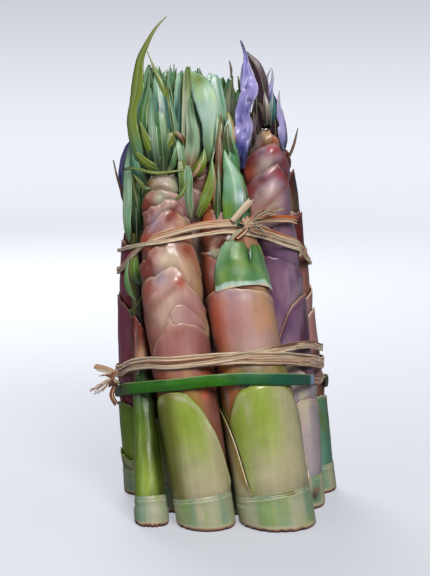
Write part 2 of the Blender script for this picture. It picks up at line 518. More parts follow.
            ([(-60, 22, 174), (-61, 21, 186), (-61, 20, 193), (-59.5, 21, 201), (-56.5, 22, 210)],
             5, "blue", "strap"),
            ([(-58, 22, 172), (-59, 18, 175), (-62, 16, 184), (-64, 15, 191), (-66, 15, 200)],
             1.8, "whisker", "thread"),
        ],
        "fill": [(6, 166, 212, 8, 8, 60, ("blue", "deep", "green"))],
    },
    "back_right": {
        "ring": 14, "top": 204, "columns": 96, "slot": "sheath_purple", "tuft": "leaf_violet",
        "crown": "dark_red", "puff": 9,
        "axis": [(51, 39.5, 0), (43.5, 42, 62), (36, 43.5, 122), (31, 38, 178), (28.5, 35, 215)],
        "radius": [(0, 15.8), (62, 15), (122, 14), (147, 13), (178, 11), (192, 8.5), (204, 5)],
        "sheaths": [
            (57, 60, 26, 1, "teal_base"), (88, -120, 22, 1, "gold_pink"), (108, 80, 20, 1, "pink"),
            (122, 120, 16, 1, "pink"), (146, 70, 20, 1, "gold_pink"), (160, -100, 14, 1, "pink"),
            (167, 90, 10, 1, "dark_red"), (177, -90, 10, 1, "pink"), (192, 80, 12, 1, "red_brown"),
        ],
        "leaves": [
            ([(34, 34, 198), (36.5, 33, 203), (38.5, 32, 209), (40.5, 31, 217.5)],
             1.8, "whisker", "thread"),
        ],
        "fill": [(5, 201, 232, 5, 6, 30, ("pale_lavender", "dark"))],
    },
    "rear_left": {
        "ring": 15, "top": 192, "columns": 84, "slot": "sheath_pink", "tuft": "leaf_green",
        "crown": "bud",
        "axis": [(-16, 30, 0), (-21, 36, 62), (-24, 38.5, 124), (-24, 34, 178), (-24, 33, 215)],
        "radius": [(0, 14.6), (62, 14.2), (124, 13.4), (170, 11), (192, 5.6)],
        "sheaths": [
            (60, 180, 30, 1, "green_base"), (92, 0, 26, 1, "gold_pink"), (124, 170, 26, 1, "pink"),
            (148, -10, 20, 1, "lilac_pink"), (168, 180, 18, 1, "pink"),
            (182, 0, 12, 1, "lilac_pink"),
        ],
        "fill": [(8, 186, 242, 11, 11, 0, ("deep", "blue_green", "green")),
                 (9, 188, 252, 9, 10, 20, ("green", "teal", "deep", "blue_green"))],
    },
    "rear_right": {
        "ring": 16, "top": 192, "columns": 84, "slot": "sheath_green", "tuft": "leaf_green",
        "crown": "bud",
        "axis": [(18, 30, 0), (12, 35, 62), (5, 37, 124), (2, 33, 178), (2, 31, 215)],
        "radius": [(0, 14.8), (62, 14.4), (124, 13.6), (170, 11.4), (192, 5.6)],
        "sheaths": [
            (56, 170, 28, 1, "green_base"), (90, -10, 26, 1, "thin_green"),
            (120, 180, 26, 1, "gold_pink"), (146, 10, 20, 1, "pink"),
            (168, 170, 18, 1, "gold_pink"), (182, -20, 12, 1, "pink"),
        ],
        "leaves": [
            ([(1, 20, 212.5), (0.5, 18, 231.5), (1, 18, 239), (2.5, 18, 248)],
             7.4, "olive_grey", "spear"),
            ([(1.5, 18, 246.5), (1.5, 18, 251), (0.5, 18, 256.5)], 1.2, "whisker", "thread"),
        ],
        "fill": [(8, 186, 240, 11, 11, 30, ("deep", "green", "teal")),
                 (7, 188, 247, 8, 10, 0, ("green", "deep", "blue_green"))],
    },
}

# A tie: (degrees round the bundle, height of its middle), for its whole way round.
LOWER_BAND = [(-180, 72), (-112, 74), (-72, 85), (-54, 90), (-12, 94), (10, 95), (26, 95.5),
              (46, 93.5), (88, 86), (116, 78), (180, 72)]
LOWER_SPLIT = [(-180, 70), (-112, 73), (-72, 84), (-54, 89), (-12, 93), (10, 95.5), (26, 98),
               (46, 99), (88, 96), (116, 88), (180, 70)]
GREEN_STRIP = [(-280, 76), (-240, 66), (-180, 57), (-120, 61), (-74, 72), (-38, 79), (-10, 83),
               (28, 85), (82, 76), (110, 70)]
UPPER_BAND = [(-180, 130), (-112, 134), (-76, 146), (-62, 154), (-44, 162), (-16, 167), (28, 168),
              (78, 158), (104, 150), (118, 139), (180, 130)]
UPPER_STRAND = [(-180, 134), (-118, 146), (-80, 152), (-48, 157), (-24, 161), (14, 164),
                (60, 158), (104, 147), (118, 137), (180, 134)]

# A knot: its middle and size, the flat tails that leave it (points, width, way they face,
# colours), and its loose fibres.
UPPER_KNOT = {
    "middle": (9, -26.5, 167), "size": 3.6, "seed": 7,
    "tails": [
        ([(2, -27.5, 169), (7, -29, 175), (13, -28, 181.5)], 3.4, (0, -1, 0),
         ("pale_straw", "pale_straw", "straw")),
        ([(11, -27, 169.5), (23.5, -15.5, 169), (34.5, -5, 168), (39, 2, 166)], 3.6,
         (0.7, -0.7, 0), ("orange_straw", "orange_straw", "straw")),
        ([(8, -26.5, 166), (15, -22, 163.5), (23, -15, 161.5)], 4.2, (0.5, -0.9, 0),
         ("straw", "orange_straw", "pale_straw")),
        ([(7, -28, 164.5), (3, -29, 161.5), (0.5, -28.5, 157.5)], 1.8, (0, -1, 0),
         ("wax_grey", "straw")),
        ([(10, -28, 165), (7, -29.5, 162), (3.5, -29, 159.5)], 1.4, (0, -1, 0),
         ("straw", "brown_straw")),
    ],
    "fibres": [((11, -27, 169), (16, 5, 8), 7, 30), ((10, -28, 168), (10, 3, -3), 6, 26)],
}
LOWER_KNOT = {
    "middle": (-67, 8, 73.5), "size": 4.2, "seed": 3,
    "tails": [
        ([(-64, 8, 76.5), (-70.5, 7, 79.5), (-77.7, 5, 81.7)], 3.4, (0, -1, 0),
         ("straw", "pale_straw", "straw")),
        ([(-66, 8, 70), (-67.5, 6, 64.5), (-64.5, 4, 59)], 2.4, (0, -1, 0),
         ("brown_straw", "straw")),
    ],
    "fibres": [((-68, 7, 74), (-10, -2, -7), 5, 14), ((-68, 7, 76), (-8, -1, 1), 2.5, 6)],
}

# The leaf that wraps the front right shoot below the upper tie.
WRAPPED_LEAF = {"left": -38, "right": 104, "bottom": 127, "top": 154.5}

# Single leaves that stand beside a shoot's tip: path, width, the way they face, their look.
SIDE_LEAVES = {
    "front_left_side_leaf": (
        [(-20.5, -13, 168), (-22, -16, 177), (-22.5, -18.5, 185), (-22.5, -20, 192.5),
         (-23, -20, 199)],
        5, (0.3, -1, 0), "pale", "strap", "leaf_green", "front_left_hanging_blade"),
    "right_side_tall_leaf": (
        [(8, -4, 196), (7, -5, 203), (7, -6, 208.5), (7.5, -6, 215.5), (8.5, -6, 220),
         (7.5, -6, 227), (8.5, -6, 231.5), (10, -6, 235.5), (11.5, -6, 239), (10.5, -5, 245),
         (9.5, -4, 250.5), (9.5, -2, 257), (8.5, -1, 262), (6.5, 0, 267.5)],
        10.4, (-0.1, -1, 0), "lavender", "wavy", "leaf_violet", "right_side_wavy_blade"),
}

# Dark marks of the wavy leaf: part of its length, place across, radius, colour.
WAVY_LEAF_SPOTS = [(0.54, -0.5, 2.2, "navy"), (0.44, -0.6, 3, "leaf_indigo"),
                   (0.38, 0.4, 1.8, "leaf_indigo"), (0.17, 0, 4.4, "leaf_indigo"),
                   (0.08, 0, 5, "navy"), (0.64, 0.3, 1.6, "leaf_indigo"),
                   (0.3, -0.3, 1.4, "leaf_indigo"), (0.95, 0, 3, "navy")]

# The studio's floor, in metres: rings of its flat part, where it starts to bend up, how wide
# the bend is, how high its wall reaches, and the steps of the bend and of its way round.
FLOOR_RINGS = [0, 0.3, 0.8]
FLOOR_RADIUS, BEND, WALL_TOP, BEND_STEPS, TURN_STEPS = 1.7, 0.8, 2.8, 12, 96

# Each lamp: its place and size in metres, the power that it takes, and its colour.
LAMPS = {
    "key_light": ((0.35, -1.15, 0.85), 0.55, "key", "warm_light"),
    "fill_light": ((-1.1, -0.7, 0.45), 0.8, "fill", "cool_light"),
    "rim_light": ((-0.3, 1.0, 0.9), 0.8, "rim", "white_light"),
}
LAMPS_AIM = Vector((0, 0, 0.13))
SKY_STRENGTH = 0.18

# Camera: where it stands and looks, in the frame of the tables, and its lens.
CAMERA_AT = Vector((-7.73, -891.24, 253.28))
CAMERA_TARGET = Vector((-7.73, 0, 128.02))
LENS = 98.68
SENSOR = 36
NEAR, FAR = 0.05, 20  # how near and far the camera sees, in metres


@functools.cache
def colour(name):
    """A palette colour as linear red, green and blue."""
    code = PALETTE[name].lstrip("#")
    parts = [int(code[i:i + 2], 16) / 255 for i in (0, 2, 4)]
    linear = [c / 12.92 if c <= 0.04045 else ((c + 0.055) / 1.055) ** 2.4 for c in parts]
    return Vector(linear).freeze()


# ---- what a user would change -------------------------------------------------------------


class BundleSizes(bpy.types.PropertyGroup):
    """Sizes of the fine parts of the bundle"""

    sheath_wall: bpy.props.FloatProperty(
        name="Sheath wall", description="Thickness of a sheath at its free edge",
        default=0.0007, unit="LENGTH", subtype="DISTANCE")
    leaf_wall: bpy.props.FloatProperty(
        name="Leaf wall", description="Thickness of a leaf blade",
        default=0.0005, unit="LENGTH", subtype="DISTANCE")
    edge_wave: bpy.props.FloatProperty(
        name="Edge wave", description="How far the free edge of a sheath wanders up and down",
        default=0.0011, unit="LENGTH", subtype="DISTANCE")
    swell: bpy.props.FloatProperty(
        name="Swell", description="Height of the soft swellings on a sheath",
        default=0.0004, unit="LENGTH", subtype="DISTANCE")
    strand_wall: bpy.props.FloatProperty(
        name="Strand wall", description="Thickness of one flat strand of raffia",
        default=0.00035, unit="LENGTH", subtype="DISTANCE")
    strands: bpy.props.IntProperty(
        name="Strands", description="Strands of raffia across the lower tie", default=12, min=4)


class BundleLight(bpy.types.PropertyGroup):
    """Studio light round the bundle"""

    key: bpy.props.FloatProperty(
        name="Key light", description="Power of the large light in front",
        default=17, unit="POWER")
    fill: bpy.props.FloatProperty(
        name="Fill light", description="Power of the light on the left", default=3, unit="POWER")
    rim: bpy.props.FloatProperty(
        name="Rim light", description="Power of the light behind", default=15, unit="POWER")
    backdrop: bpy.props.FloatVectorProperty(
        name="Backdrop", description="Colour of the floor and the backdrop",
        subtype="COLOR", size=3, min=0, max=1, default=tuple(colour("paper")))


# ---- small helpers ------------------------------------------------------------------------


def clamp(x):
    return min(max(x, 0.0), 1.0)


def smooth(x):
    """Soft step from 0 to 1 while x goes from 0 to 1."""
    x = clamp(x)
    return x * x * (3 - 2 * x)


def hump(x, half_width):
    """Soft hill, 1 high, round x = 0."""
    return math.exp(-((x / half_width) ** 2))


def mix(a, b, t):
    return a + (b - a) * t


def wrap(degrees):
    """The same angle between -180 and 180."""
    return (degrees + 180) % 360 - 180


def look_up(rows, at):
    """Value of a table of (at, value) rows, joined by straight lines."""
    if at <= rows[0][0]:
        return rows[0][1]
    for (z0, value0), (z, value) in zip(rows, rows[1:]):
        if at <= z:
            return mix(value0, value, (at - z0) / (z - z0))
    return rows[-1][1]


def curve(p, q, leaving, arriving, t):
    """The smooth curve from p to q that has these slopes at its ends."""
    return ((2 * t**3 - 3 * t**2 + 1) * p + (t**3 - 2 * t**2 + t) * leaving
            + (3 * t**2 - 2 * t**3) * q + (t**3 - t**2) * arriving)


def wander(seed, *at):
    """Smooth noise from -1 to 1, different for each seed."""
    x, y = (*at, 0.0)[:2]
    return noise.noise(Vector((x, y, 17.3 * seed + 0.5)))


def wander_round(seed, size, degrees):
    """The same noise on a circle, so that it meets itself on its way round a shoot."""
    turn = math.radians(degrees)
    return wander(seed, size * math.cos(turn), size * math.sin(turn))


class Shoot:
    """The lines that all the pieces of one shoot follow."""

    LOW, HIGH = -2, 300  # its directions are kept for each millimetre between these heights

    def __init__(self, name, row):
        self.name = name
        self.row = row
        self.seed = list(SHOOTS).index(name) + 1
        self.axis = [Vector(p) for p in row["axis"]]
        self.lines = {}
        for k, line in row.get("lines", {}).items():
            back = row["sheaths"][k][0] - row["sheaths"][k][2]
            self.lines[k] = [(-180, back), *line, (180, back)]
        self.frames = [self.exact_frame(z) for z in range(self.LOW, self.HIGH)]

    def centre(self, z):
        """Point of the centre line at height z, as a smooth curve through its points."""
        points = self.axis
        last = len(points) - 1
        i = 0
        while i < last - 1 and z > points[i + 1].z:
            i += 1

        def slope(j):
            a, b = points[max(j - 1, 0)], points[min(j + 1, last)]
            return (b - a) / (b.z - a.z)

        p, q = points[i], points[i + 1]
        span = q.z - p.z
        at = curve(p, q, slope(i) * span, slope(i + 1) * span, (z - p.z) / span)
        return Vector((at.x, at.y, z))

    def exact_frame(self, z):
        along = (self.centre(z + 1) - self.centre(z - 1)).normalized()
        front = (Vector((0, -1, 0)) + along * along.y).normalized()
        return self.centre(z), front, along.cross(front), along

    def frame(self, z):
        """Centre, front, right and along at height z."""
        low = min(max(math.floor(z), self.LOW), self.HIGH - 2)
        below, above = self.frames[low - self.LOW:low - self.LOW + 2]
        return [a.lerp(b, z - low) for a, b in zip(below, above)]

    def radius(self, z):
        return look_up(self.row["radius"], z)

    def around(self, z, degrees, r):
        """Point at a distance r from the centre line, at an angle from the front."""
        centre, front, right, _ = self.frame(z)
        turn = math.radians(degrees)
        return centre + front * (r * math.cos(turn)) + right * (r * math.sin(turn))

    def edge(self, k, degrees):
        """Height of the free edge of sheath number k, or of the node ring below the first."""
        if k < 0:
            return self.row["ring"] + GAP
        floor = self.edge(k - 1, degrees) + MIN_STEP
        if k == len(self.row["sheaths"]):
            return max(floor - MIN_STEP + 1, self.row["top"])
        top, direction, drop, sharpness, _ = self.row["sheaths"][k]
        if k in self.lines:
            return max(floor, look_up(self.lines[k], wrap(degrees)))
        behind = math.sin(math.radians(degrees - direction) / 2) ** 2
        sway = EDGE_SWAY * math.sin(math.radians(3 * degrees) + 2 * k)
        return max(floor, top - drop * behind**sharpness + sway)


@functools.cache
def all_shoots():
    """Every shoot by its name, worked out once."""
    return {name: Shoot(name, row) for name, row in SHOOTS.items()}


class Line:
    """A line of close points, read by the part t of its length."""

    def measure(self):
        self.lengths = [0.0]
        for a, b in zip(self.points, self.points[1:]):
            self.lengths.append(self.lengths[-1] + (b - a).length)

    def find(self, t):
        """Number of the stretch at the part t of the length, and how far along it t is."""
        wanted = clamp(t) * self.lengths[-1]
        i = bisect.bisect_left(self.lengths, wanted, 1, len(self.lengths) - 1) - 1
        return i, (wanted - self.lengths[i]) / max(self.lengths[i + 1] - self.lengths[i], TINY)


class Path(Line):
    """A smooth line through points."""

    STEPS = 12  # close points from each point to the next

    def __init__(self, points):
        points = [Vector(p) for p in points]
        gaps = [max((b - a).length, 1e-6) ** 0.5 for a, b in zip(points, points[1:])]
        steps = [b - a for a, b in zip(points, points[1:])]
        slopes = [steps[0] / gaps[0]]
        for i in range(1, len(points) - 1):
            before, after = gaps[i - 1], gaps[i]
            slopes.append(steps[i - 1] / before - (steps[i - 1] + steps[i]) / (before + after)
                          + steps[i] / after)
        slopes.append(steps[-1] / gaps[-1])
        self.points = [
            curve(points[i], points[i + 1], gap * slopes[i], gap * slopes[i + 1], j / self.STEPS)
            for i, gap in enumerate(gaps) for j in range(self.STEPS)]
        self.points.append(points[-1])
        self.measure()

    def at(self, t):
        """Point and direction at the part t of the length."""
        i, part = self.find(t)
        a, b = self.points[i], self.points[i + 1]
        return a.lerp(b, part), (b - a).normalized()


# ---- meshes -------------------------------------------------------------------------------


class Build:
    """A mesh in the making, whose points hold their colour and their place in the grain."""

    def __init__(self):
        self.bm = bmesh.new()
        self.tint = self.bm.verts.layers.float_color.new("tint")
        self.grain = self.bm.verts.layers.float_vector.new("grain_place")

    def sheet(self, columns, rows, place):
        """Adds a grid of faces. place(u, v), with both from 0 to 1, gives the point, the
        colour and the place in the grain, in mm across and along it, of each of its points."""
        made = bmesh.ops.create_grid(self.bm, x_segments=columns, y_segments=rows, size=0.5)
        for vert in made["verts"]:
            point, tint, grain = place(vert.co.x + 0.5, vert.co.y + 0.5)
            vert.co = point
            vert[self.tint] = (*tint, 1.0)
            vert[self.grain] = (grain[0], grain[1], 0.0)
        return made["verts"]

    def weld(self, verts, distance=WELD):
        bmesh.ops.remove_doubles(self.bm, verts=verts, dist=distance)

    def piece(self, name, skin, node, wall=0.0, offset=-1.0):
        """Turns the mesh into a piece of the bundle, which stands for a CAD node."""
        uv = self.bm.loops.layers.uv.new("grain")
        for face in self.bm.faces:
            face.smooth = True
            for loop in face.loops:
                loop[uv].uv = loop.vert[self.grain].xy
        mesh = bpy.data.meshes.new(name)
        self.bm.to_mesh(mesh)
        self.bm.free()
        mesh.attributes.remove(mesh.attributes["grain_place"])
        mesh.transform(Matrix.Scale(MM, 4) @ Matrix.Translation(-MIDDLE))
        mesh.materials.append(plant_skin(skin))
        obj = bpy.data.objects.new(name, mesh)
        bpy.context.scene.collection.objects.link(obj)
        if wall:
            shell = obj.modifiers.new("wall", "SOLIDIFY")
            shell.thickness = wall
            shell.offset = offset
        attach(obj, "root")
        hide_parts(node)


# ---- materials ----------------------------------------------------------------------------


def add(tree, kind, inputs=(), **settings):
    """Adds a node to a material, with its settings, its values and its links."""
    node = tree.nodes.new(kind)
    for name, value in settings.items():
        setattr(node, name, value)
    for name, value in dict(inputs).items():
        if isinstance(value, bpy.types.NodeSocket):
            tree.links.new(value, node.inputs[name])
        else:
            node.inputs[name].default_value = value
    return node


VEINS_ALONG, BANDS_ALONG = 0.035, 0.012  # changes to a millimetre along a vein and a band
BANDS_TO_VEINS = 0.175  # bands across the grain for each vein
CLOUD_DARK, CLOUD_LIGHT = 0.92, 1.06
GLOSSIER, DULLER = 0.08, 0.1  # how far the roughness goes down and up with the clouds
RIB_STRENGTH = 0.22
VEIN_BUMP, COAT_ROUGHNESS = 0.6, 0.28
NOISE_RANGE = {"From Min": 0.3, "From Max": 0.7}  # most of a noise texture lies between these


# Each plant skin: veins to a millimetre, their depth in metres, roughness, coat, size in mm of
# its soft lighter and darker clouds, how far its veins differ in lightness, half width in mm of
# a pale middle rib, and sheen.
SKINS = {
    # Young bamboo wall: smooth, under a thin matt wax, so its highlights are broad and soft.
    "waxy_bamboo_culm": (0.9, 0.00006, 0.44, 0.05, 7, 0.05, 0.0, 0.0),
    # Fresh culm sheath: a taut papery skin with fine veins and a satin shine.
    "satin_bamboo_sheath": (1.3, 0.00012, 0.3, 0.3, 9, 0.07, 0.0, 0.0),
    # Bamboo leaf blade: close parallel veins, a pale middle rib and a light gloss.
    "ribbed_leaf_blade": (1.6, 0.00014, 0.38, 0.1, 8, 0.12, 0.3, 0.0),
    # A thick young blade: no veins show, and its soft swellings catch broad highlights.
    "puffed_leaf_blade": (0.6, 0.00008, 0.34, 0.15, 6, 0.04, 0.0, 0.0),
    # Split dry raffia: coarse fibres with no gloss, which catch the light as thin lines.
    "split_raffia": (3.2, 0.0003, 0.72, 0.0, 5, 0.3, 0.0, 0.15),
    # A strip of fresh leaf: glossy, with a clear line for each vein.
    "glossy_leaf_strip": (1.8, 0.00014, 0.4, 0.05, 6, 0.12, 0.0, 0.0),
}


def plant_skin(name):
    """A plant's skin: its tint, crossed by fine parallel veins."""
    material = bpy.data.materials.get(name)
    if material:
        return material
    streaks, relief, roughness, coat, patch, contrast, pale_rib, sheen = SKINS[name]
    material = bpy.data.materials.new(name)
    material.use_nodes = True
    tree = material.node_tree
    shader = tree.nodes["Principled BSDF"]
    tint = add(tree, "ShaderNodeAttribute", attribute_name="tint")
    grain = add(tree, "ShaderNodeUVMap", uv_map="grain")
    place = add(tree, "ShaderNodeTexCoord")
    lines = []
    for scale, detail, rough in (((streaks, VEINS_ALONG, 1.0), 2.0, 0.55),
                                 ((BANDS_TO_VEINS * streaks, BANDS_ALONG, 1.0), 1.0, 0.5)):
        stretched = add(tree, "ShaderNodeMapping",
                        {"Vector": grain.outputs["UV"], "Scale": scale})
        lines.append(add(tree, "ShaderNodeTexNoise", {
            "Vector": stretched.outputs["Vector"], "Scale": 1.0, "Detail": detail,
            "Roughness": rough}))
    veins, bands = lines
    clouds = add(tree, "ShaderNodeTexNoise", {
        "Vector": place.outputs["Object"], "Scale": 1 / (MM * patch), "Detail": 4.0,
        "Roughness": 0.6})
    final = tint.outputs["Color"]
    for pattern, dark, light in ((veins, 1 - contrast, 1 + 0.6 * contrast),
                                 (clouds, CLOUD_DARK, CLOUD_LIGHT),
                                 (bands, 1 - contrast, 1 + 0.6 * contrast)):
        shade = add(tree, "ShaderNodeMapRange", {
            "Value": pattern.outputs["Fac"], "To Min": dark, "To Max": light, **NOISE_RANGE})
        painted = add(tree, "ShaderNodeVectorMath", {
            0: final, "Scale": shade.outputs["Result"]}, operation="SCALE")
        final = painted.outputs["Vector"]
    if pale_rib:
        across = add(tree, "ShaderNodeSeparateXYZ", {"Vector": grain.outputs["UV"]})
        away = add(tree, "ShaderNodeMath", {0: across.outputs["X"]}, operation="ABSOLUTE")
        rib = add(tree, "ShaderNodeMapRange", {
            "Value": away.outputs["Value"], "From Min": pale_rib * 0.4, "From Max": pale_rib,
            "To Min": RIB_STRENGTH, "To Max": 0.0})
        ribbed = add(tree, "ShaderNodeMix", {
            0: rib.outputs["Result"], 6: final, 7: (*colour("pale_rib"), 1)}, data_type="RGBA")
        final = ribbed.outputs[2]
    tree.links.new(final, shader.inputs["Base Color"])
    gloss = add(tree, "ShaderNodeMapRange", {
        "Value": clouds.outputs["Fac"], "To Min": roughness - GLOSSIER,
        "To Max": roughness + DULLER, **NOISE_RANGE})
    tree.links.new(gloss.outputs["Result"], shader.inputs["Roughness"])
    ribs = add(tree, "ShaderNodeBump", {
        "Height": veins.outputs["Fac"], "Distance": relief, "Strength": VEIN_BUMP})
    tree.links.new(ribs.outputs["Normal"], shader.inputs["Normal"])
    shader.inputs["Coat Weight"].default_value = coat
    shader.inputs["Coat Roughness"].default_value = COAT_ROUGHNESS
    shader.inputs["Sheen Weight"].default_value = sheen
    return material


PAPER_SHADE = 0.36  # how much of its colour the paper returns, since it also glows
# Strength of its glow below the bundle and this many metres off, and the part of it that is
# left this many metres up.
GLOW_NEAR, GLOW_FAR, GLOW_REACH = 0.47, 1.03, 2.2
GLOW_HIGH, GLOW_HEIGHT = 0.54, 0.55


def backdrop_paper(tone):
    """Matt studio paper that glows a little, brightest some way behind the bundle."""
    material = bpy.data.materials.new("matt_backdrop_paper")
    material.use_nodes = True
    tree = material.node_tree
    shader = tree.nodes["Principled BSDF"]
    shader.inputs["Base Color"].default_value = (*(PAPER_SHADE * c for c in tone), 1)
    shader.inputs["Roughness"].default_value = 0.9
    shader.inputs["Emission Color"].default_value = (*tone, 1)
    place = add(tree, "ShaderNodeTexCoord")
    flat = add(tree, "ShaderNodeVectorMath", {
        0: place.outputs["Object"], 1: (1, 1, 0)}, operation="MULTIPLY")
    away = add(tree, "ShaderNodeVectorMath", {0: flat.outputs["Vector"]}, operation="LENGTH")
    near = add(tree, "ShaderNodeMapRange", {
        "Value": away.outputs["Value"], "From Min": 0.0, "From Max": GLOW_REACH,
        "To Min": GLOW_NEAR, "To Max": GLOW_FAR})
    height = add(tree, "ShaderNodeSeparateXYZ", {"Vector": place.outputs["Object"]})
    high = add(tree, "ShaderNodeMapRange", {
        "Value": height.outputs["Z"], "From Min": 0.0, "From Max": GLOW_HEIGHT, "To Min": 1.0,
        "To Max": GLOW_HIGH}, interpolation_type="SMOOTHSTEP")
    glow = add(tree, "ShaderNodeMath", {
        0: near.outputs["Result"], 1: high.outputs["Result"]}, operation="MULTIPLY")
    tree.links.new(glow.outputs["Value"], shader.inputs["Emission Strength"])
    return material


# ---- culms --------------------------------------------------------------------------------

# Rows of points from the middle of the cut face outwards and up: parts of its radius, heights
# of its torn rim and of the wall above it, and steps (rise, out) across the node ring.
CUT_FACE = [(0.0, "cream"), (0.5, "cream"), (0.86, "wax_grey"), (0.95, "rose_brown")]
CUT_RIM = [(0.4, "dark_brown"), (1.1, "rose_brown"), (2.6, "cream_green")]
CULM_WALL = [0.36, 0.5, 0.66, 0.82, 0.96]  # as parts of the height below the ring
NODE_RING = [(-3.4, 0), (-2.4, 0.05), (-1.5, 0.15), (-0.8, 0.22), (-0.45, 0.12), (-0.2, -0.05),
             (0.05, 0.16), (0.7, 0), (2.5, -0.5)]
PALE_RISES = (-0.45, -0.2)  # the groove over the ring
CULM_COLUMNS = 120


def culm(build, shoot):
    """The cut length below the first sheath: its cut face, worn rim, wall, ring and groove."""
    ring, seed = shoot.row["ring"], shoot.seed
    foot = ring - CULM_FOOT
    wall = shoot.radius(0) - CULM_SET_BACK
    along = shoot.frame(foot)[3]
    rows = len(CUT_FACE) + len(CUT_RIM) + len(CULM_WALL) + len(NODE_RING) - 1

    def level(degrees, inset, height):
        """A point of the wall carried down along the shoot to the level cut."""
        point = shoot.around(foot, degrees, wall - inset)
        return point + along * ((height - point.z) / along.z)

    def rag(degrees):
        """How far the rim of the cut is torn up at an angle."""
        return max(0.0, 2.0 * wander_round(seed, 1.6, degrees)
                   + 1.6 * wander_round(seed + 40, 7, degrees))

    def wall_tone(degrees, v, mottle):
        tone = colour("cream_green").lerp(colour("wax_grey"), clamp(0.85 + 0.9 * mottle))
        blue = smooth(0.2 + 1.8 * wander(seed + 12, degrees / 30))
        green = smooth(1.6 * wander(seed + 13, degrees / 36, v))
        return tone.lerp(colour("leaf_blue"), 0.6 * blue).lerp(colour("leek"), 0.5 * green)

    def place(u, v):
        degrees = 360 * u
        row = round(v * rows)
        arc = math.radians(degrees) * wall
        mottle = wander(seed + 9, degrees / 22, row / 3)
        if row < len(CUT_FACE):
            part, name = CUT_FACE[row]
            height = 0.9 * (1 - part) + 0.5 * rag(degrees) * part**8
            tone = colour(name).lerp(colour("gold"), 0.3 * clamp(mottle))
            return level(degrees, wall * (1 - part), height), tone, (arc, wall * part)
        row -= len(CUT_FACE)
        if row < len(CUT_RIM):
            height, name = CUT_RIM[row]
            torn = rag(degrees) * (1 - height / 4)
            point = level(degrees, 0.5 if row == 0 else 0.0, height + torn)
            tone = colour(name).lerp(colour("dark_brown"), 0.5 * clamp(2 * mottle) * (row < 2))
            return point, tone, (arc, height)
        row -= len(CUT_RIM)
        tone = wall_tone(degrees, v, mottle)
        if row < len(CULM_WALL):
            height = CULM_WALL[row] * (ring - 4.5)
            return (level(degrees, 0.0, height), blotched(shoot, tone, height, degrees),
                    (arc, height))
        rise, out = NODE_RING[row - len(CULM_WALL)]
        point = shoot.around(ring + rise, degrees, shoot.radius(ring) - CULM_SET_BACK + out)
        if rise in PALE_RISES:
            tone = colour("cream").lerp(tone, clamp(0.5 + wander(seed + 14, degrees / 9)))
        return point, tone, (arc, ring + rise)

    build.weld(build.sheet(CULM_COLUMNS, rows, place))


# ---- sheaths ------------------------------------------------------------------------------

ROWS_PER_MM, FEWEST_ROWS, MOST_ROWS = 0.55, 9, 26
CROWDING = 1.35  # how far the rows crowd towards the free edge
SPOT_REACH = 2.5  # a mark has faded out at this many times its radius
ROOT_SHADE, ROOT_SHADE_REACH = 0.5, 1.4  # how dark a sheath is where it comes out, over how far
FLUSH_BELOW, FLUSH_WIDTH = 2.8, 1.8  # the flushed band lies this far below the free edge
LOOSE_LIP, LOOSE_LIP_BELOW, LOOSE_LIP_WIDTH = 0.85, 0.8, 1.3  # a free edge that stands off
TIGHT_LIP, TIGHT_LIP_WIDTH = 0.45, 1.6  # a free edge that lies close
PUFF, HOLLOW, SLANT = 1.1, 1.3, 1.3  # swelling of a loose sheath, its foot, its slanting folds


def blotched(shoot, tone, z, degrees):
    """A tone with the single marks of its shoot over it."""
    for at_z, at_degrees, size, name in shoot.row.get("blotches", ()):
        if abs(z - at_z) > SPOT_REACH * size:
            continue
        across = math.radians(wrap(degrees - at_degrees)) * shoot.radius(z)
        away = math.hypot(across, z - at_z) / size
        tone = tone.lerp(colour(name), 0.9 * hump(away, 1))
    return tone


def sheath_tone(shoot, look, z, degrees, part, above_root, below_rim):
    """Colour of a sheath at a point: part is 0 where it comes out and 1 at its free edge."""
    *names, cover = SHEATH_LOOKS[look]
    low, high, left, right, rim, patch = (colour(name) for name in names)
    seed, base, banded = shoot.seed, look in BASE_LOOKS, look == BANDED_LOOK
    rise = 1.7 * part - 0.18 if base else 1.2 * part
    tone = low.lerp(high, smooth(rise + 0.15 * wander(seed, degrees / 25, z / 14)))
    side = math.sin(math.radians(degrees))
    tone = tone.lerp(left, 0.85 * smooth(-1.7 * side - 0.3))
    tone = tone.lerp(right, 0.85 * smooth(1.7 * side - 0.3))
    cloud = wander(seed + 20, degrees / 30, z / 22) + 0.35 * wander(seed + 21, degrees / 9, z / 16)
    tone = tone.lerp(patch, smooth((cloud + 2 * cover - 0.75) * 1.6) * 0.8)
    flush = clamp((0.9 if banded else 0.4) + 1.6 * wander(seed + 23, degrees / 26, z / 9))
    tone = tone.lerp(patch, 0.85 * flush * hump(below_rim - FLUSH_BELOW, FLUSH_WIDTH))
    deep = 0.1 if base else 0.26
    tone = tone * (1 - deep * smooth(2.2 * abs(side) - 1.1))
    tone = tone * (1 - ROOT_SHADE * math.exp(-above_root / ROOT_SHADE_REACH))
    line = 1.2 if banded else 0.7
    tone = tone.lerp(rim, 0.85 * math.exp(-below_rim / line) * smooth(above_root / 4))
    return blotched(shoot, tone, z, degrees)


def ridge_at(shoot, k, z, degrees):
    """How far the ridges of sheath number k lift it at a point, and how dark it is below them."""
    lift = shadow = 0.0
    for own, z0, degrees0, z1, degrees1, half, rise in shoot.row.get("ridges", ()):
        if own != k:
            continue
        part = clamp((z - z0) / (z1 - z0))
        turned = wrap(degrees - mix(degrees0, degrees1, part))
        lean = math.hypot(z1 - z0, math.radians(degrees1 - degrees0) * shoot.radius(z))
        away = math.radians(turned) * shoot.radius(z) * abs(z1 - z0) / lean
        past = z - mix(z0, z1, part)
        lift += rise * hump(away, half) * hump(past, half)
        under = away * math.copysign(1, (degrees0 - degrees1) * (z0 - z1)) - 0.9 * half
        shadow += hump(under, 0.7 * half) * hump(past, math.sqrt(12))
    return lift, shadow


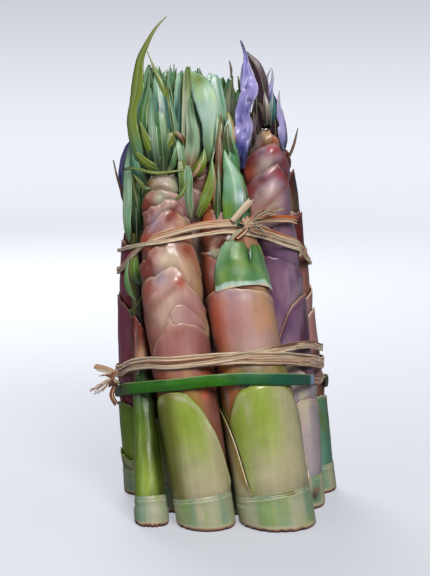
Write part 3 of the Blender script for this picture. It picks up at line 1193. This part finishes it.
def sheath(build, shoot, k, sizes):
    """One sheath: a sheet wrapped round the shoot, whose outer margin laps over its inner one."""
    rows_of = shoot.row["sheaths"]
    if k < len(rows_of):
        top, direction, _, _, look = rows_of[k]
    else:
        top, direction, look = shoot.row["top"], 0, shoot.row["crown"]
    below = rows_of[k - 1][0] if k else shoot.row["ring"]
    rows = round(min(max(abs(top - below) * ROWS_PER_MM, FEWEST_ROWS), MOST_ROWS))
    wave, swell = sizes.edge_wave / MM, sizes.swell / MM
    seed = shoot.seed * 10 + k
    loose = k >= shoot.row.get("puff", math.inf)
    drawn = k in shoot.lines
    wave *= 0.6 if drawn else 1.7 if loose else 1

    def place(u, v):
        degrees = direction + 180 - LAP / 2 + u * (360 + LAP) - MARGIN_LEAN * v
        low, high = shoot.edge(k - 1, degrees), shoot.edge(k, degrees)
        tall = smooth((high - low - MIN_STEP) / 6)
        ripple = wander_round(seed, 3, degrees)
        fine = wander_round(seed + 3, 11, degrees)
        high += wave * tall * (ripple + (0.2 if drawn else 0.45) * fine)
        z = mix(low - TUCK, high, 1 - (1 - v) ** CROWDING)
        part = clamp((z - low) / max(high - low, 0.5))
        below_rim = high - z
        r = shoot.radius(z) - LIP * (1 - part) ** 1.4 - 0.95 * (1 - tall) * smooth(part * 2)
        if z < low:
            r = shoot.radius(low) - LIP - 0.08 * (low - z)
        bulge = wander(seed + 5, degrees / 34, z / 15)
        bulge += 0.5 * wander(seed + 6, degrees / 15, z / 7)
        r += swell * bulge * smooth(part * 3) * smooth(below_rim / 3 + 0.3)
        if loose:
            lip = hump(below_rim - LOOSE_LIP_BELOW, LOOSE_LIP_WIDTH) * (0.8 + 0.6 * ripple)
            slant = wander(seed + 8, degrees / 36 + z / 8, z / 30)
            r += tall * (LOOSE_LIP * lip + PUFF * math.sin(math.pi * part**0.8)
                         - HOLLOW * math.exp(-6 * part)
                         + SLANT * slant * math.sin(math.pi * part) ** 0.5)
        else:
            r += TIGHT_LIP * tall * math.exp(-below_rim / TIGHT_LIP_WIDTH) * (0.6 + 0.8 * ripple)
        lift, shadow = ridge_at(shoot, k, z, degrees)
        r += tall * lift + 0.45 * smooth((u - 0.88) / 0.1) - 0.3 * smooth((0.1 - u) / 0.1)
        tone = sheath_tone(shoot, look, z, degrees, part, max(z - low, 0.0), below_rim)
        tone = tone.lerp(colour("rust"), 0.5 * tall * clamp(shadow))
        return shoot.around(z, degrees, r), tone, (math.radians(degrees) * shoot.radius(z), z)

    build.sheet(shoot.row["columns"], rows, place)


# ---- leaves -------------------------------------------------------------------------------

# The rings of blades of a tuft: how far out they stand from root to tip, as parts of their
# spread, how far they lean sideways in degrees, and how much shorter every second one is.
RING_BLADE_OUT = (0.5, 1, 0.95, 0.7)
RING_BLADE_LEAN = 14
SECOND_BLADE_SHORTER = 0.16
BUD_HEIGHT, BUD_SHARE = 20, 0.8  # the bud's radius is this part of the shoot's at its top
BUD_SHAPE = [(0, 1), (0.25, 0.95), (0.6, 0.7), (1, 0.2)]
TOWARDS_FRONT = Vector((0, -1.5, 0))  # turns the backs of the single blades to the front
DARK_ROOT, DARK_ROOT_LENGTH = 0.4, 12  # a blade is this dark at its root, over this length
DARK_RING_ROOT = 0.15  # and the blades that stand in rings are this dark


def blade(build, points, width, outward, look, profile, seed, columns=8, rows=28, wave=0.25,
          puff=0.0, spots=()):
    """A blade folded along its middle, that follows the points of a path.

    outward is the side its back faces; wave is the height of the ripple of its edges in mm;
    puff is the height of the soft swellings of its face in mm; spots are single marks,
    (part of its length, place across from -1 to 1, radius, colour)."""
    path = Path(points)
    length = path.lengths[-1]
    root, middle, tip, edge, patch = (colour(name) for name in LEAF_LOOKS[look])

    def place(u, v):
        across, run = 2 * u - 1, v * length
        at, along = path.at(v)
        back = (outward - along * outward.dot(along)).normalized()
        half = 0.5 * width * look_up(PROFILES[profile], v)
        half *= 1 + 0.06 * wander(seed + 5, run / 4, across)
        ripple = wave * wander(seed, run / 9, 3 * across) * abs(across)
        swell = puff * wander(seed + 1, run / 7, 1.5 * across)
        lift = FOLD * half * (1 - abs(across)) + swell + ripple
        point = at + back.cross(along) * (across * half) + back * lift
        tone = root.lerp(middle, smooth(v * 3)).lerp(tip, smooth(2.2 * v - 1.2))
        cloud = wander(seed + 2, run / 14, 1.5 * across)
        tone = tone.lerp(patch, 0.7 * smooth(2 * cloud + 0.2))
        tone = tone * (1 + 0.35 * wander(seed + 3, 2.5 * across, run / 30))
        tone = tone.lerp(edge, 0.6 * smooth((abs(across) - 0.8) * 5))
        if profile == "lance":
            tone = tone * mix(DARK_RING_ROOT, 1, smooth(1.5 * v - 0.15))
        elif profile != "spade":
            tone = tone * mix(DARK_ROOT, 1, smooth(run / DARK_ROOT_LENGTH))
        for part, place_across, size, name in spots:
            away = math.hypot(run - part * length, (across - place_across) * half) / size
            tone = tone.lerp(colour(name), 0.85 * hump(away, 1))
        return point, tone, (across * half, run)

    build.sheet(columns, rows, place)


def ring_blades(shoot):
    """Paths of the blades that stand evenly round the axis of a tuft, in rings."""
    draw = random.Random(shoot.seed)
    last = len(RING_BLADE_OUT) - 1
    made = []
    for count, root, tip, spread, width, turn, looks in shoot.row["fill"]:
        for i in range(count):
            direction = turn + i * 360 / count
            end = tip - (i % 2) * SECOND_BLADE_SHORTER * (tip - root)
            lean = draw.uniform(-RING_BLADE_LEAN, RING_BLADE_LEAN)
            points = [shoot.around(mix(root, end, j / last), direction + lean * j / last,
                                   out * spread) for j, out in enumerate(RING_BLADE_OUT)]
            made.append((points, width * draw.uniform(0.85, 1.1), looks[i % len(looks)], "lance"))
    return made


def tuft(build, shoot):
    """The blades on top of a shoot, and the bud that they grow from."""
    base = shoot.row["top"] + GAP
    bud_radius = shoot.radius(shoot.row["top"]) * BUD_SHARE

    def bud(u, v):
        r = bud_radius * look_up(BUD_SHAPE, v) * (1 + 0.08 * wander(shoot.seed, 12 * u, 4 * v))
        height = BUD_HEIGHT * v
        return (shoot.around(base + height, 360 * u, r), colour("deep_green"),
                (2 * math.pi * u * bud_radius, height))

    build.weld(build.sheet(24, 12, bud))
    single = [([Vector(p) for p in points], *rest)
              for points, *rest in shoot.row.get("leaves", ())]
    for number, (points, width, look, profile) in enumerate(single + ring_blades(shoot)):
        middle = points[len(points) // 2]
        outward = middle - shoot.centre(middle.z)
        outward.z = 0
        outward.normalize()
        if number < len(single):
            outward += TOWARDS_FRONT
        blade(build, points, width, outward, look, profile, shoot.seed * 30 + number,
              spots=shoot.row.get("spots", {}).get(number, ()))


def wrapped_leaf(build, shoot):
    """The leaf that lies flat round a shoot, with a waved and notched top edge.

    notch and tear are the places of its notch and of its short tear, as parts of its width."""
    row, notch, tear = WRAPPED_LEAF, 0.44, 0.74
    length = math.radians(row["right"] - row["left"]) * shoot.radius(row["bottom"] + 13)

    def place(u, v):
        degrees = mix(row["left"] + 26 * v * v, row["right"], u)
        high = row["top"] - 2.6 * hump(u - notch, 0.05) - 9 * u**3 + 1.5 * math.sin(9 * u)
        high += 0.9 * wander(3, 14 * u) + 0.5 * wander(4, 40 * u)
        low = row["bottom"] + 3.4 + 2.2 * math.sin(2.6 * u) - 9 * u * u
        z = mix(low, high, v)
        crease = hump(u - notch - 0.1 * (1 - v), 0.03) * smooth((v - 0.5) / 0.3)
        crease += 0.7 * hump(u - tear, 0.02) * smooth((v - 0.75) / 0.2)
        hem = 0.1 + 0.05 * wander(13, 9 * u)
        tone = colour("leaf")
        for name, strength in (
                ("leek", 0.5 * smooth(0.4 + wander(8, 5 * u, 3 * v))),
                ("mint", 0.6 * smooth(1.3 * u - 0.3) * smooth(1.2 - v)),
                ("grey_mint", 0.8 * smooth(1 - 5 * u) * v),
                ("leaf_dark", 0.6 * smooth(0.2 + 1.5 * wander(9, 7 * u, 2 * v))),
                ("bright_green", 0.35 * smooth(1.5 * wander(12, 4 * u, 3 * v))),
                ("deep_green", 0.85 * clamp(crease)),
                ("pale_mint", 0.8 * smooth((hem + 0.06 - v) / 0.05)),
                ("pale_straw", 0.9 * smooth((hem - 0.04 - v) / 0.03)),
                ("gold", 0.7 * smooth((u - 0.95) / 0.04))):
            tone = tone.lerp(colour(name), strength)
        r = shoot.radius(z) + GAP + 0.5 + 0.5 * v + 0.35 * wander(6, 9 * u, 4 * v) - 0.8 * crease
        return shoot.around(z, degrees, r), tone, (u * length + 2, z)

    build.sheet(72, 30, place)


# ---- ties ---------------------------------------------------------------------------------

LOWER_WIDTH, LOWER_SPLIT_WIDTH, SPLIT_STRANDS = 7, 4.4, 5
UPPER_WIDTH, UPPER_STRANDS, UPPER_STRAND_WIDTH, THIN_STRANDS = 4, 7, 1.8, 3
STRIP_WIDTH, BINDING_WIDTH, BINDING_STRANDS = 6.5, 4.4, 7
STRIP_FROM, STRIP_TO, BINDING_FROM, BINDING_TO = -250, 84, 86, 108  # degrees round the bundle
BAND_ROWS, BINDING_ROWS, STRIP_ROWS = 240, 40, 300
KNOT_TURNS = 9
LOWER_TONES = ("straw", "pale_straw", "rose_brown", "brown_straw")
UPPER_TONES = ("pale_straw", "straw", "brown_straw", "orange_straw")
UPPER_STRAND_TONES = ("pale_straw", "pale_straw", "straw", "straw")
BINDING_TONES = ("brown_straw", "straw", "rust", "rose_brown")
KNOT_TONES = ("straw", "brown_straw", "pale_straw", "brown_straw")
FIBRE_TONES = ("straw", "pale_straw", "pale_straw", "orange_straw")


def tie_height(rows, degrees):
    """Height of a tie at an angle round the bundle, with the corners of its table rounded."""
    shifts = range(-12, 13, 4)
    return sum(look_up(rows, degrees + shift) for shift in shifts) / len(shifts)


def facing(degrees):
    """Level direction at an angle round the bundle."""
    turn = math.radians(degrees)
    return Vector((math.sin(turn), -math.cos(turn), 0))


def hull_point(degrees, z):
    """Where a ray from the bundle's middle leaves the tight line round it, and that line's
    outward direction there."""
    ray = facing(degrees)
    circles = [(shoot.centre(h) - MIDDLE, shoot.radius(h)) for shoot in all_shoots().values()
               if z - TIE_HALF_WIDTH <= shoot.row["top"]
               for h in (z - TIE_HALF_WIDTH, z, z + TIE_HALF_WIDTH)]
    best = None
    for shift in range(-80, 81, 5):
        out = facing(degrees + shift)
        reach = max(centre.dot(out) + r for centre, r in circles) / ray.dot(out)
        if best is None or reach < best[0]:
            best = (reach, out)
    return Vector((MIDDLE.x, MIDDLE.y, z)) + ray * best[0], best[1]


class Route(Line):
    """The way of a tight band round the bundle, from one direction round to another."""

    STEP = 4  # degrees from each point to the next

    def __init__(self, rows, start=-180, end=180):
        count = round((end - start) / self.STEP)
        found = []
        for i in range(count + 1):
            degrees = mix(start, end, i / count)
            found.append(hull_point(degrees, tie_height(rows, degrees)))
        self.points = [point for point, _ in found]
        outs = [out for _, out in found]
        self.outs = [(outs[max(i - 1, 0)] + out + outs[min(i + 1, count)]).normalized()
                     for i, out in enumerate(outs)]
        self.measure()

    def at(self, t):
        """Point and outward direction at the part t of the length."""
        i, part = self.find(t)
        return (self.points[i].lerp(self.points[i + 1], part),
                self.outs[i].lerp(self.outs[i + 1], part).normalized())


def band(build, route, width, strands, layer, tones, seed, rows=BAND_ROWS):
    """A flat band of raffia along a route: a fibrous ribbon with loose strands over it."""
    draw = random.Random(seed)
    length = route.lengths[-1]
    shades = [colour(name) for name in tones]

    def ribbon_place(u, v):
        across, run = 2 * u - 1, v * length
        at, out = route.at(v)
        half = 0.5 * width * (1 + 0.1 * wander(seed + 7, run / 17, 3 * across))
        fold = 0.3 * wander(seed + 8, 3.5 * across, run / 60)
        point = at + Vector((0, 0, across * half)) + out * (layer + 0.25 + fold)
        pick = 0.5 + 0.9 * wander(seed + 9, 5 * across + 20, run / 45)
        tone = shades[0].lerp(shades[1], clamp(pick))
        other = wander(seed + 10, 4 * across, run / 30)
        tone = tone.lerp(shades[2 + (other > 0)], 0.6 * smooth(2.2 * abs(other) - 0.4))
        return point, tone, (across * half + 40, run)

    build.sheet(18, rows, ribbon_place)
    for number in range(strands):
        middle = (number + 0.5) / strands - 0.5
        half = width / strands * draw.uniform(0.3, 0.6)
        lift = layer + draw.uniform(0.45, 0.75)
        own = draw.random() * 50
        tone = draw.choice(shades).lerp(draw.choice(shades), draw.random())

        def place(u, v):
            across, run = 2 * u - 1, v * length
            at, out = route.at(v)
            drift = 0.55 * wander(seed + number, own + run / 38)
            sunk = lift - 0.35 + 0.5 * wander(seed + 90, own + run / 24)
            point = at + Vector((0, 0, width * middle + drift + across * half))
            point += out * (sunk + 0.12 * (1 - across * across))
            shade = 1 + 0.22 * wander(seed + 60, own + run / 16)
            return point, tone * shade, (own + across * half, run)

        build.sheet(2, rows, place)


def tail(build, points, width, faces, tones, seed, strands=5):
    """A flat loose end of raffia, split into strands whose tips are ragged."""
    path, draw, faces = Path(points), random.Random(seed), Vector(faces)
    length = path.lengths[-1]
    for number in range(strands):
        lane = ((number + 0.5) / strands - 0.5) * width
        half = width / strands * draw.uniform(0.5, 0.75)
        stop, lift, own = draw.uniform(0.88, 1), draw.uniform(0, 0.5), draw.random() * 50
        tone = colour(draw.choice(tones)) * draw.uniform(0.85, 1.12)

        def place(u, v):
            across, t = 2 * u - 1, stop * v
            at, along = path.at(t)
            side = faces.cross(along).normalized()
            reach = half * (1 - 0.6 * smooth((v - 0.8) / 0.2))
            point = at + side * (lane * (0.8 + 0.3 * t) + across * reach)
            point += faces * (lift + 0.25 * (1 - across * across))
            shade = 1 + 0.2 * wander(seed + number, own + v * length / 5)
            return point, tone * shade, (own + across * reach, v * length)

        build.sheet(2, 24, place)


def fibre(build, points, radius, tone, sides, rows):
    """A thin fibre that narrows towards its far end."""
    path = Path(points)

    def place(u, v):
        at, along = path.at(v)
        side = Vector((0, 1, 0)).cross(along).normalized()
        out = along.cross(side)
        r = radius * (1 - 0.75 * v)
        turn = 2 * math.pi * u
        point = at + side * (r * math.cos(turn)) + out * (r * math.sin(turn))
        return point, tone * (1 - 0.15 * v), (turn * radius, v * path.lengths[-1])

    build.weld(build.sheet(sides, rows, place), WELD / 10)


def knot(build, row):
    """Turns of raffia wound round a band, the flat tails that leave them and loose fibres."""
    middle = Vector(row["middle"])
    draw = random.Random(row["seed"])

    def loose(reach):
        return Vector([draw.uniform(-reach, reach) for _ in range(3)])

    for number in range(KNOT_TURNS):
        tilt = Matrix.Rotation(draw.uniform(-1.1, 1.1), 3, "Y")
        size = row["size"] * draw.uniform(0.75, 1.15)
        rise = 1 if number % 2 else -1
        points = []
        for degrees in range(0, 361, 45):
            out = facing(degrees)
            points.append(middle + tilt @ Vector((0.5 * size * out.x, 0.55 * size * out.y,
                                                  rise * size * out.x)))
        tone = colour(draw.choice(KNOT_TONES))
        fibre(build, points, draw.uniform(0.5, 0.95), tone, sides=6, rows=36)
    for number, (points, width, faces, tones) in enumerate(row["tails"]):
        tail(build, points, width, faces, tones, row["seed"] + 10 * number)
    for start, along, spread, count in row["fibres"]:
        start, along = Vector(start), Vector(along)
        for _ in range(count):
            stray = loose(0.5) * spread
            end = start + along * draw.uniform(0.4, 1.1) + stray
            by = start.lerp(end, 0.5) + loose(1.2)
            tone = colour(draw.choice(FIBRE_TONES))
            fibre(build, [start, by, end], draw.uniform(0.13, 0.26), tone, sides=4, rows=8)


def green_strip(build):
    """The flat strip of leaf, dark at its back end and pale blue at the one in front."""
    route = Route(GREEN_STRIP, STRIP_FROM, STRIP_TO)
    length = route.lengths[-1]
    half = STRIP_WIDTH / 2

    def place(u, v):
        across = 2 * u - 1
        at, out = route.at(v)
        point = at + Vector((0, 0, across * half * (1 - 0.12 * smooth(8 * v - 7))))
        point += out * (TIE_CLEARANCE + 0.75 + 0.4 * (1 - across * across))
        tone = colour("dark_olive")
        for name, strength in (
                ("strip_green", smooth((v - 0.5) * 7 + 0.4 * wander(2, v * 30))),
                ("strip_teal", smooth((v - 0.78) * 7 + 0.4 * wander(3, v * 30))),
                ("leaf_dark", 0.6 * smooth(1.4 * wander(5, v * 24, across))),
                ("strip_blue", smooth((v - 0.975) / 0.015)),
                ("pale_leaf", 0.6 * smooth((across - 0.8) * 6))):
            tone = tone.lerp(colour(name), strength)
        return point, tone, (across * half, v * length)

    build.sheet(10, STRIP_ROWS, place)


# ---- operators ----------------------------------------------------------------------------


class BUNDLE_OT_culms(bpy.types.Operator):
    """Make the cut culm of each shoot"""

    bl_idname = "bundle.culms"
    bl_label = "Culms"

    def execute(self, context):
        for shoot in all_shoots().values():
            build = Build()
            culm(build, shoot)
            build.piece(f"{shoot.name}_cut_culm", "waxy_bamboo_culm", f"{shoot.name}_culm")
        return {"FINISHED"}


class BUNDLE_OT_sheaths(bpy.types.Operator):
    """Make the overlapping sheaths of each shoot"""

    bl_idname = "bundle.sheaths"
    bl_label = "Sheaths"

    def execute(self, context):
        sizes = context.scene.bundle_sizes
        for shoot in all_shoots().values():
            build = Build()
            for k in range(len(shoot.row["sheaths"]) + 1):
                sheath(build, shoot, k, sizes)
            build.piece(f"{shoot.name}_sheath_shells", "satin_bamboo_sheath",
                        f"{shoot.name}_sheaths", wall=sizes.sheath_wall)
        return {"FINISHED"}


class BUNDLE_OT_tufts(bpy.types.Operator):
    """Make the tuft of blades at each shoot's tip"""

    bl_idname = "bundle.tufts"
    bl_label = "Tufts"

    def execute(self, context):
        for shoot in all_shoots().values():
            build = Build()
            tuft(build, shoot)
            build.piece(f"{shoot.name}_blades", "ribbed_leaf_blade",
                        f"{shoot.name}_tuft", wall=context.scene.bundle_sizes.leaf_wall, offset=0)
        return {"FINISHED"}


class BUNDLE_OT_single_leaves(bpy.types.Operator):
    """Make the leaves that stand alone between the shoots"""

    bl_idname = "bundle.single_leaves"
    bl_label = "Single leaves"

    def execute(self, context):
        for number, (node, row) in enumerate(SIDE_LEAVES.items()):
            points, width, faces, look, profile, slot, name = row
            wavy = profile == "wavy"
            build = Build()
            blade(build, points, width, Vector(faces), look, profile, 500 + number, columns=16,
                  rows=80, wave=0.6, puff=2.6 if wavy else 0.3,
                  spots=WAVY_LEAF_SPOTS if wavy else ())
            build.piece(name, "puffed_leaf_blade" if wavy else "ribbed_leaf_blade", node,
                        wall=context.scene.bundle_sizes.leaf_wall, offset=0)
        return {"FINISHED"}


class BUNDLE_OT_wrapped_leaf(bpy.types.Operator):
    """Make the green leaf that wraps the front right shoot"""

    bl_idname = "bundle.wrapped_leaf"
    bl_label = "Wrapped leaf"

    def execute(self, context):
        build = Build()
        wrapped_leaf(build, all_shoots()["front_right"])
        build.piece("front_right_leaf_wrap", "ribbed_leaf_blade",
                    "front_right_green_leaf", wall=context.scene.bundle_sizes.leaf_wall)
        return {"FINISHED"}


class BUNDLE_OT_lower_tie(bpy.types.Operator):
    """Make the lower raffia tie, its split strand and its frayed knot"""

    bl_idname = "bundle.lower_tie"
    bl_label = "Lower tie"

    def execute(self, context):
        sizes = context.scene.bundle_sizes
        build = Build()
        band(build, Route(LOWER_BAND), LOWER_WIDTH, sizes.strands, TIE_CLEARANCE, LOWER_TONES, 11)
        band(build, Route(LOWER_SPLIT), LOWER_SPLIT_WIDTH, SPLIT_STRANDS,
             TIE_CLEARANCE + SECOND_STRAND, LOWER_TONES, 12)
        knot(build, LOWER_KNOT)
        build.piece("lower_raffia_strands", "split_raffia", "lower_raffia_tie",
                    wall=sizes.strand_wall)
        return {"FINISHED"}


class BUNDLE_OT_green_strip(bpy.types.Operator):
    """Make the flat green strip and the dry fibres that end it"""

    bl_idname = "bundle.green_strip"
    bl_label = "Green strip"

    def execute(self, context):
        sizes = context.scene.bundle_sizes
        build = Build()
        green_strip(build)
        build.piece("green_leaf_strip", "glossy_leaf_strip", "green_strip_tie",
                    wall=sizes.leaf_wall * 1.4)
        build = Build()
        band(build, Route(GREEN_STRIP, BINDING_FROM, BINDING_TO), BINDING_WIDTH, BINDING_STRANDS,
             TIE_CLEARANCE, BINDING_TONES, 21, rows=BINDING_ROWS)
        build.piece("dry_fibre_binding", "split_raffia", "green_strip_binding",
                    wall=sizes.strand_wall)
        return {"FINISHED"}


class BUNDLE_OT_upper_tie(bpy.types.Operator):
    """Make the upper raffia tie, its second strand, its knot and its frayed tails"""

    bl_idname = "bundle.upper_tie"
    bl_label = "Upper tie"

    def execute(self, context):
        build = Build()
        band(build, Route(UPPER_BAND), UPPER_WIDTH, UPPER_STRANDS, TIE_CLEARANCE, UPPER_TONES, 31)
        band(build, Route(UPPER_STRAND), UPPER_STRAND_WIDTH, THIN_STRANDS,
             TIE_CLEARANCE + SECOND_STRAND, UPPER_STRAND_TONES, 32)
        knot(build, UPPER_KNOT)
        build.piece("upper_raffia_strands", "split_raffia", "upper_raffia_tie",
                    wall=context.scene.bundle_sizes.strand_wall)
        return {"FINISHED"}


def studio_bowl(tone):
    """The floor, bent up into a wall all round. It lights nothing and shows in no gloss."""
    bm = bmesh.new()
    outline = [(r, 0) for r in FLOOR_RINGS]
    for step in range(BEND_STEPS + 1):
        turn = math.pi / 2 * step / BEND_STEPS
        outline.append((FLOOR_RADIUS + BEND * math.sin(turn), BEND * (1 - math.cos(turn))))
    outline.append((FLOOR_RADIUS + BEND, WALL_TOP))
    verts = [bm.verts.new((r, 0, z)) for r, z in outline]
    edges = [bm.edges.new(pair) for pair in zip(verts, verts[1:])]
    bmesh.ops.spin(bm, geom=verts + edges, axis=(0, 0, 1), cent=(0, 0, 0),
                   angle=2 * math.pi, steps=TURN_STEPS, use_merge=True)
    bmesh.ops.remove_doubles(bm, verts=bm.verts, dist=1e-5)
    bmesh.ops.recalc_face_normals(bm, faces=bm.faces)
    bmesh.ops.reverse_faces(bm, faces=bm.faces)
    for face in bm.faces:
        face.smooth = True
    mesh = bpy.data.meshes.new("studio_bowl")
    bm.to_mesh(mesh)
    bm.free()
    mesh.materials.append(backdrop_paper(tone))
    bowl = bpy.data.objects.new("studio_bowl", mesh)
    bowl.visible_diffuse = False
    bowl.visible_glossy = False
    return bowl


class BUNDLE_OT_stage(bpy.types.Operator):
    """Make the floor, the studio light and the camera"""

    bl_idname = "bundle.stage"
    bl_label = "Stage"

    def execute(self, context):
        scene = context.scene
        bowl = studio_bowl(scene.bundle_light.backdrop)
        scene.collection.objects.link(bowl)
        for name, (at, size, power, tone) in LAMPS.items():
            lamp = bpy.data.lights.new(name, "AREA")
            lamp.shape, lamp.size, lamp.color = "DISK", size, colour(tone)
            lamp.energy = getattr(scene.bundle_light, power)
            obj = bpy.data.objects.new(name, lamp)
            scene.collection.objects.link(obj)
            obj.location = at
            obj.rotation_euler = (LAMPS_AIM - Vector(at)).to_track_quat("-Z", "Y").to_euler()
        scene.world = bpy.data.worlds.new("studio")
        scene.world.use_nodes = True
        sky = scene.world.node_tree.nodes["Background"]
        sky.inputs["Color"].default_value = (*colour("sky"), 1)
        sky.inputs["Strength"].default_value = SKY_STRENGTH

        camera = bpy.data.objects.new("camera", bpy.data.cameras.new("camera"))
        scene.collection.objects.link(camera)
        camera.data.sensor_width, camera.data.lens = SENSOR, LENS
        camera.data.clip_start, camera.data.clip_end = NEAR, FAR
        camera.location = (CAMERA_AT - MIDDLE) * MM
        camera.rotation_euler = (CAMERA_TARGET - CAMERA_AT).to_track_quat("-Z", "Y").to_euler()
        scene.camera = camera
        scene.view_settings.view_transform = "Standard"
        return {"FINISHED"}


class BUNDLE_PT_panel(bpy.types.Panel):
    """Lists the steps that make the bundle"""

    bl_idname = "BUNDLE_PT_panel"
    bl_label = "Bamboo shoot bundle"
    bl_space_type = "VIEW_3D"
    bl_region_type = "UI"
    bl_category = "Bundle"

    def draw(self, context):
        for group in (context.scene.bundle_sizes, context.scene.bundle_light):
            for name in group.__annotations__:
                self.layout.prop(group, name)
        for operator in OPERATORS:
            self.layout.operator(operator.bl_idname)


OPERATORS = (
    BUNDLE_OT_stage, BUNDLE_OT_culms, BUNDLE_OT_sheaths, BUNDLE_OT_tufts, BUNDLE_OT_single_leaves,
    BUNDLE_OT_wrapped_leaf, BUNDLE_OT_lower_tie, BUNDLE_OT_green_strip, BUNDLE_OT_upper_tie,
)
CLASSES = (BundleSizes, BundleLight, *OPERATORS, BUNDLE_PT_panel)


def register():
    for made in CLASSES:
        bpy.utils.register_class(made)
    bpy.types.Scene.bundle_sizes = bpy.props.PointerProperty(type=BundleSizes)
    bpy.types.Scene.bundle_light = bpy.props.PointerProperty(type=BundleLight)


def unregister():
    del bpy.types.Scene.bundle_light
    del bpy.types.Scene.bundle_sizes
    for made in reversed(CLASSES):
        bpy.utils.unregister_class(made)


def main():
    register()
    bpy.ops.bundle.stage()
    bpy.ops.bundle.culms()
    bpy.ops.bundle.sheaths()
    bpy.ops.bundle.tufts()
    bpy.ops.bundle.single_leaves()
    bpy.ops.bundle.wrapped_leaf()
    bpy.ops.bundle.lower_tie()
    bpy.ops.bundle.green_strip()
    bpy.ops.bundle.upper_tie()


if __name__ == "__main__":
    main()
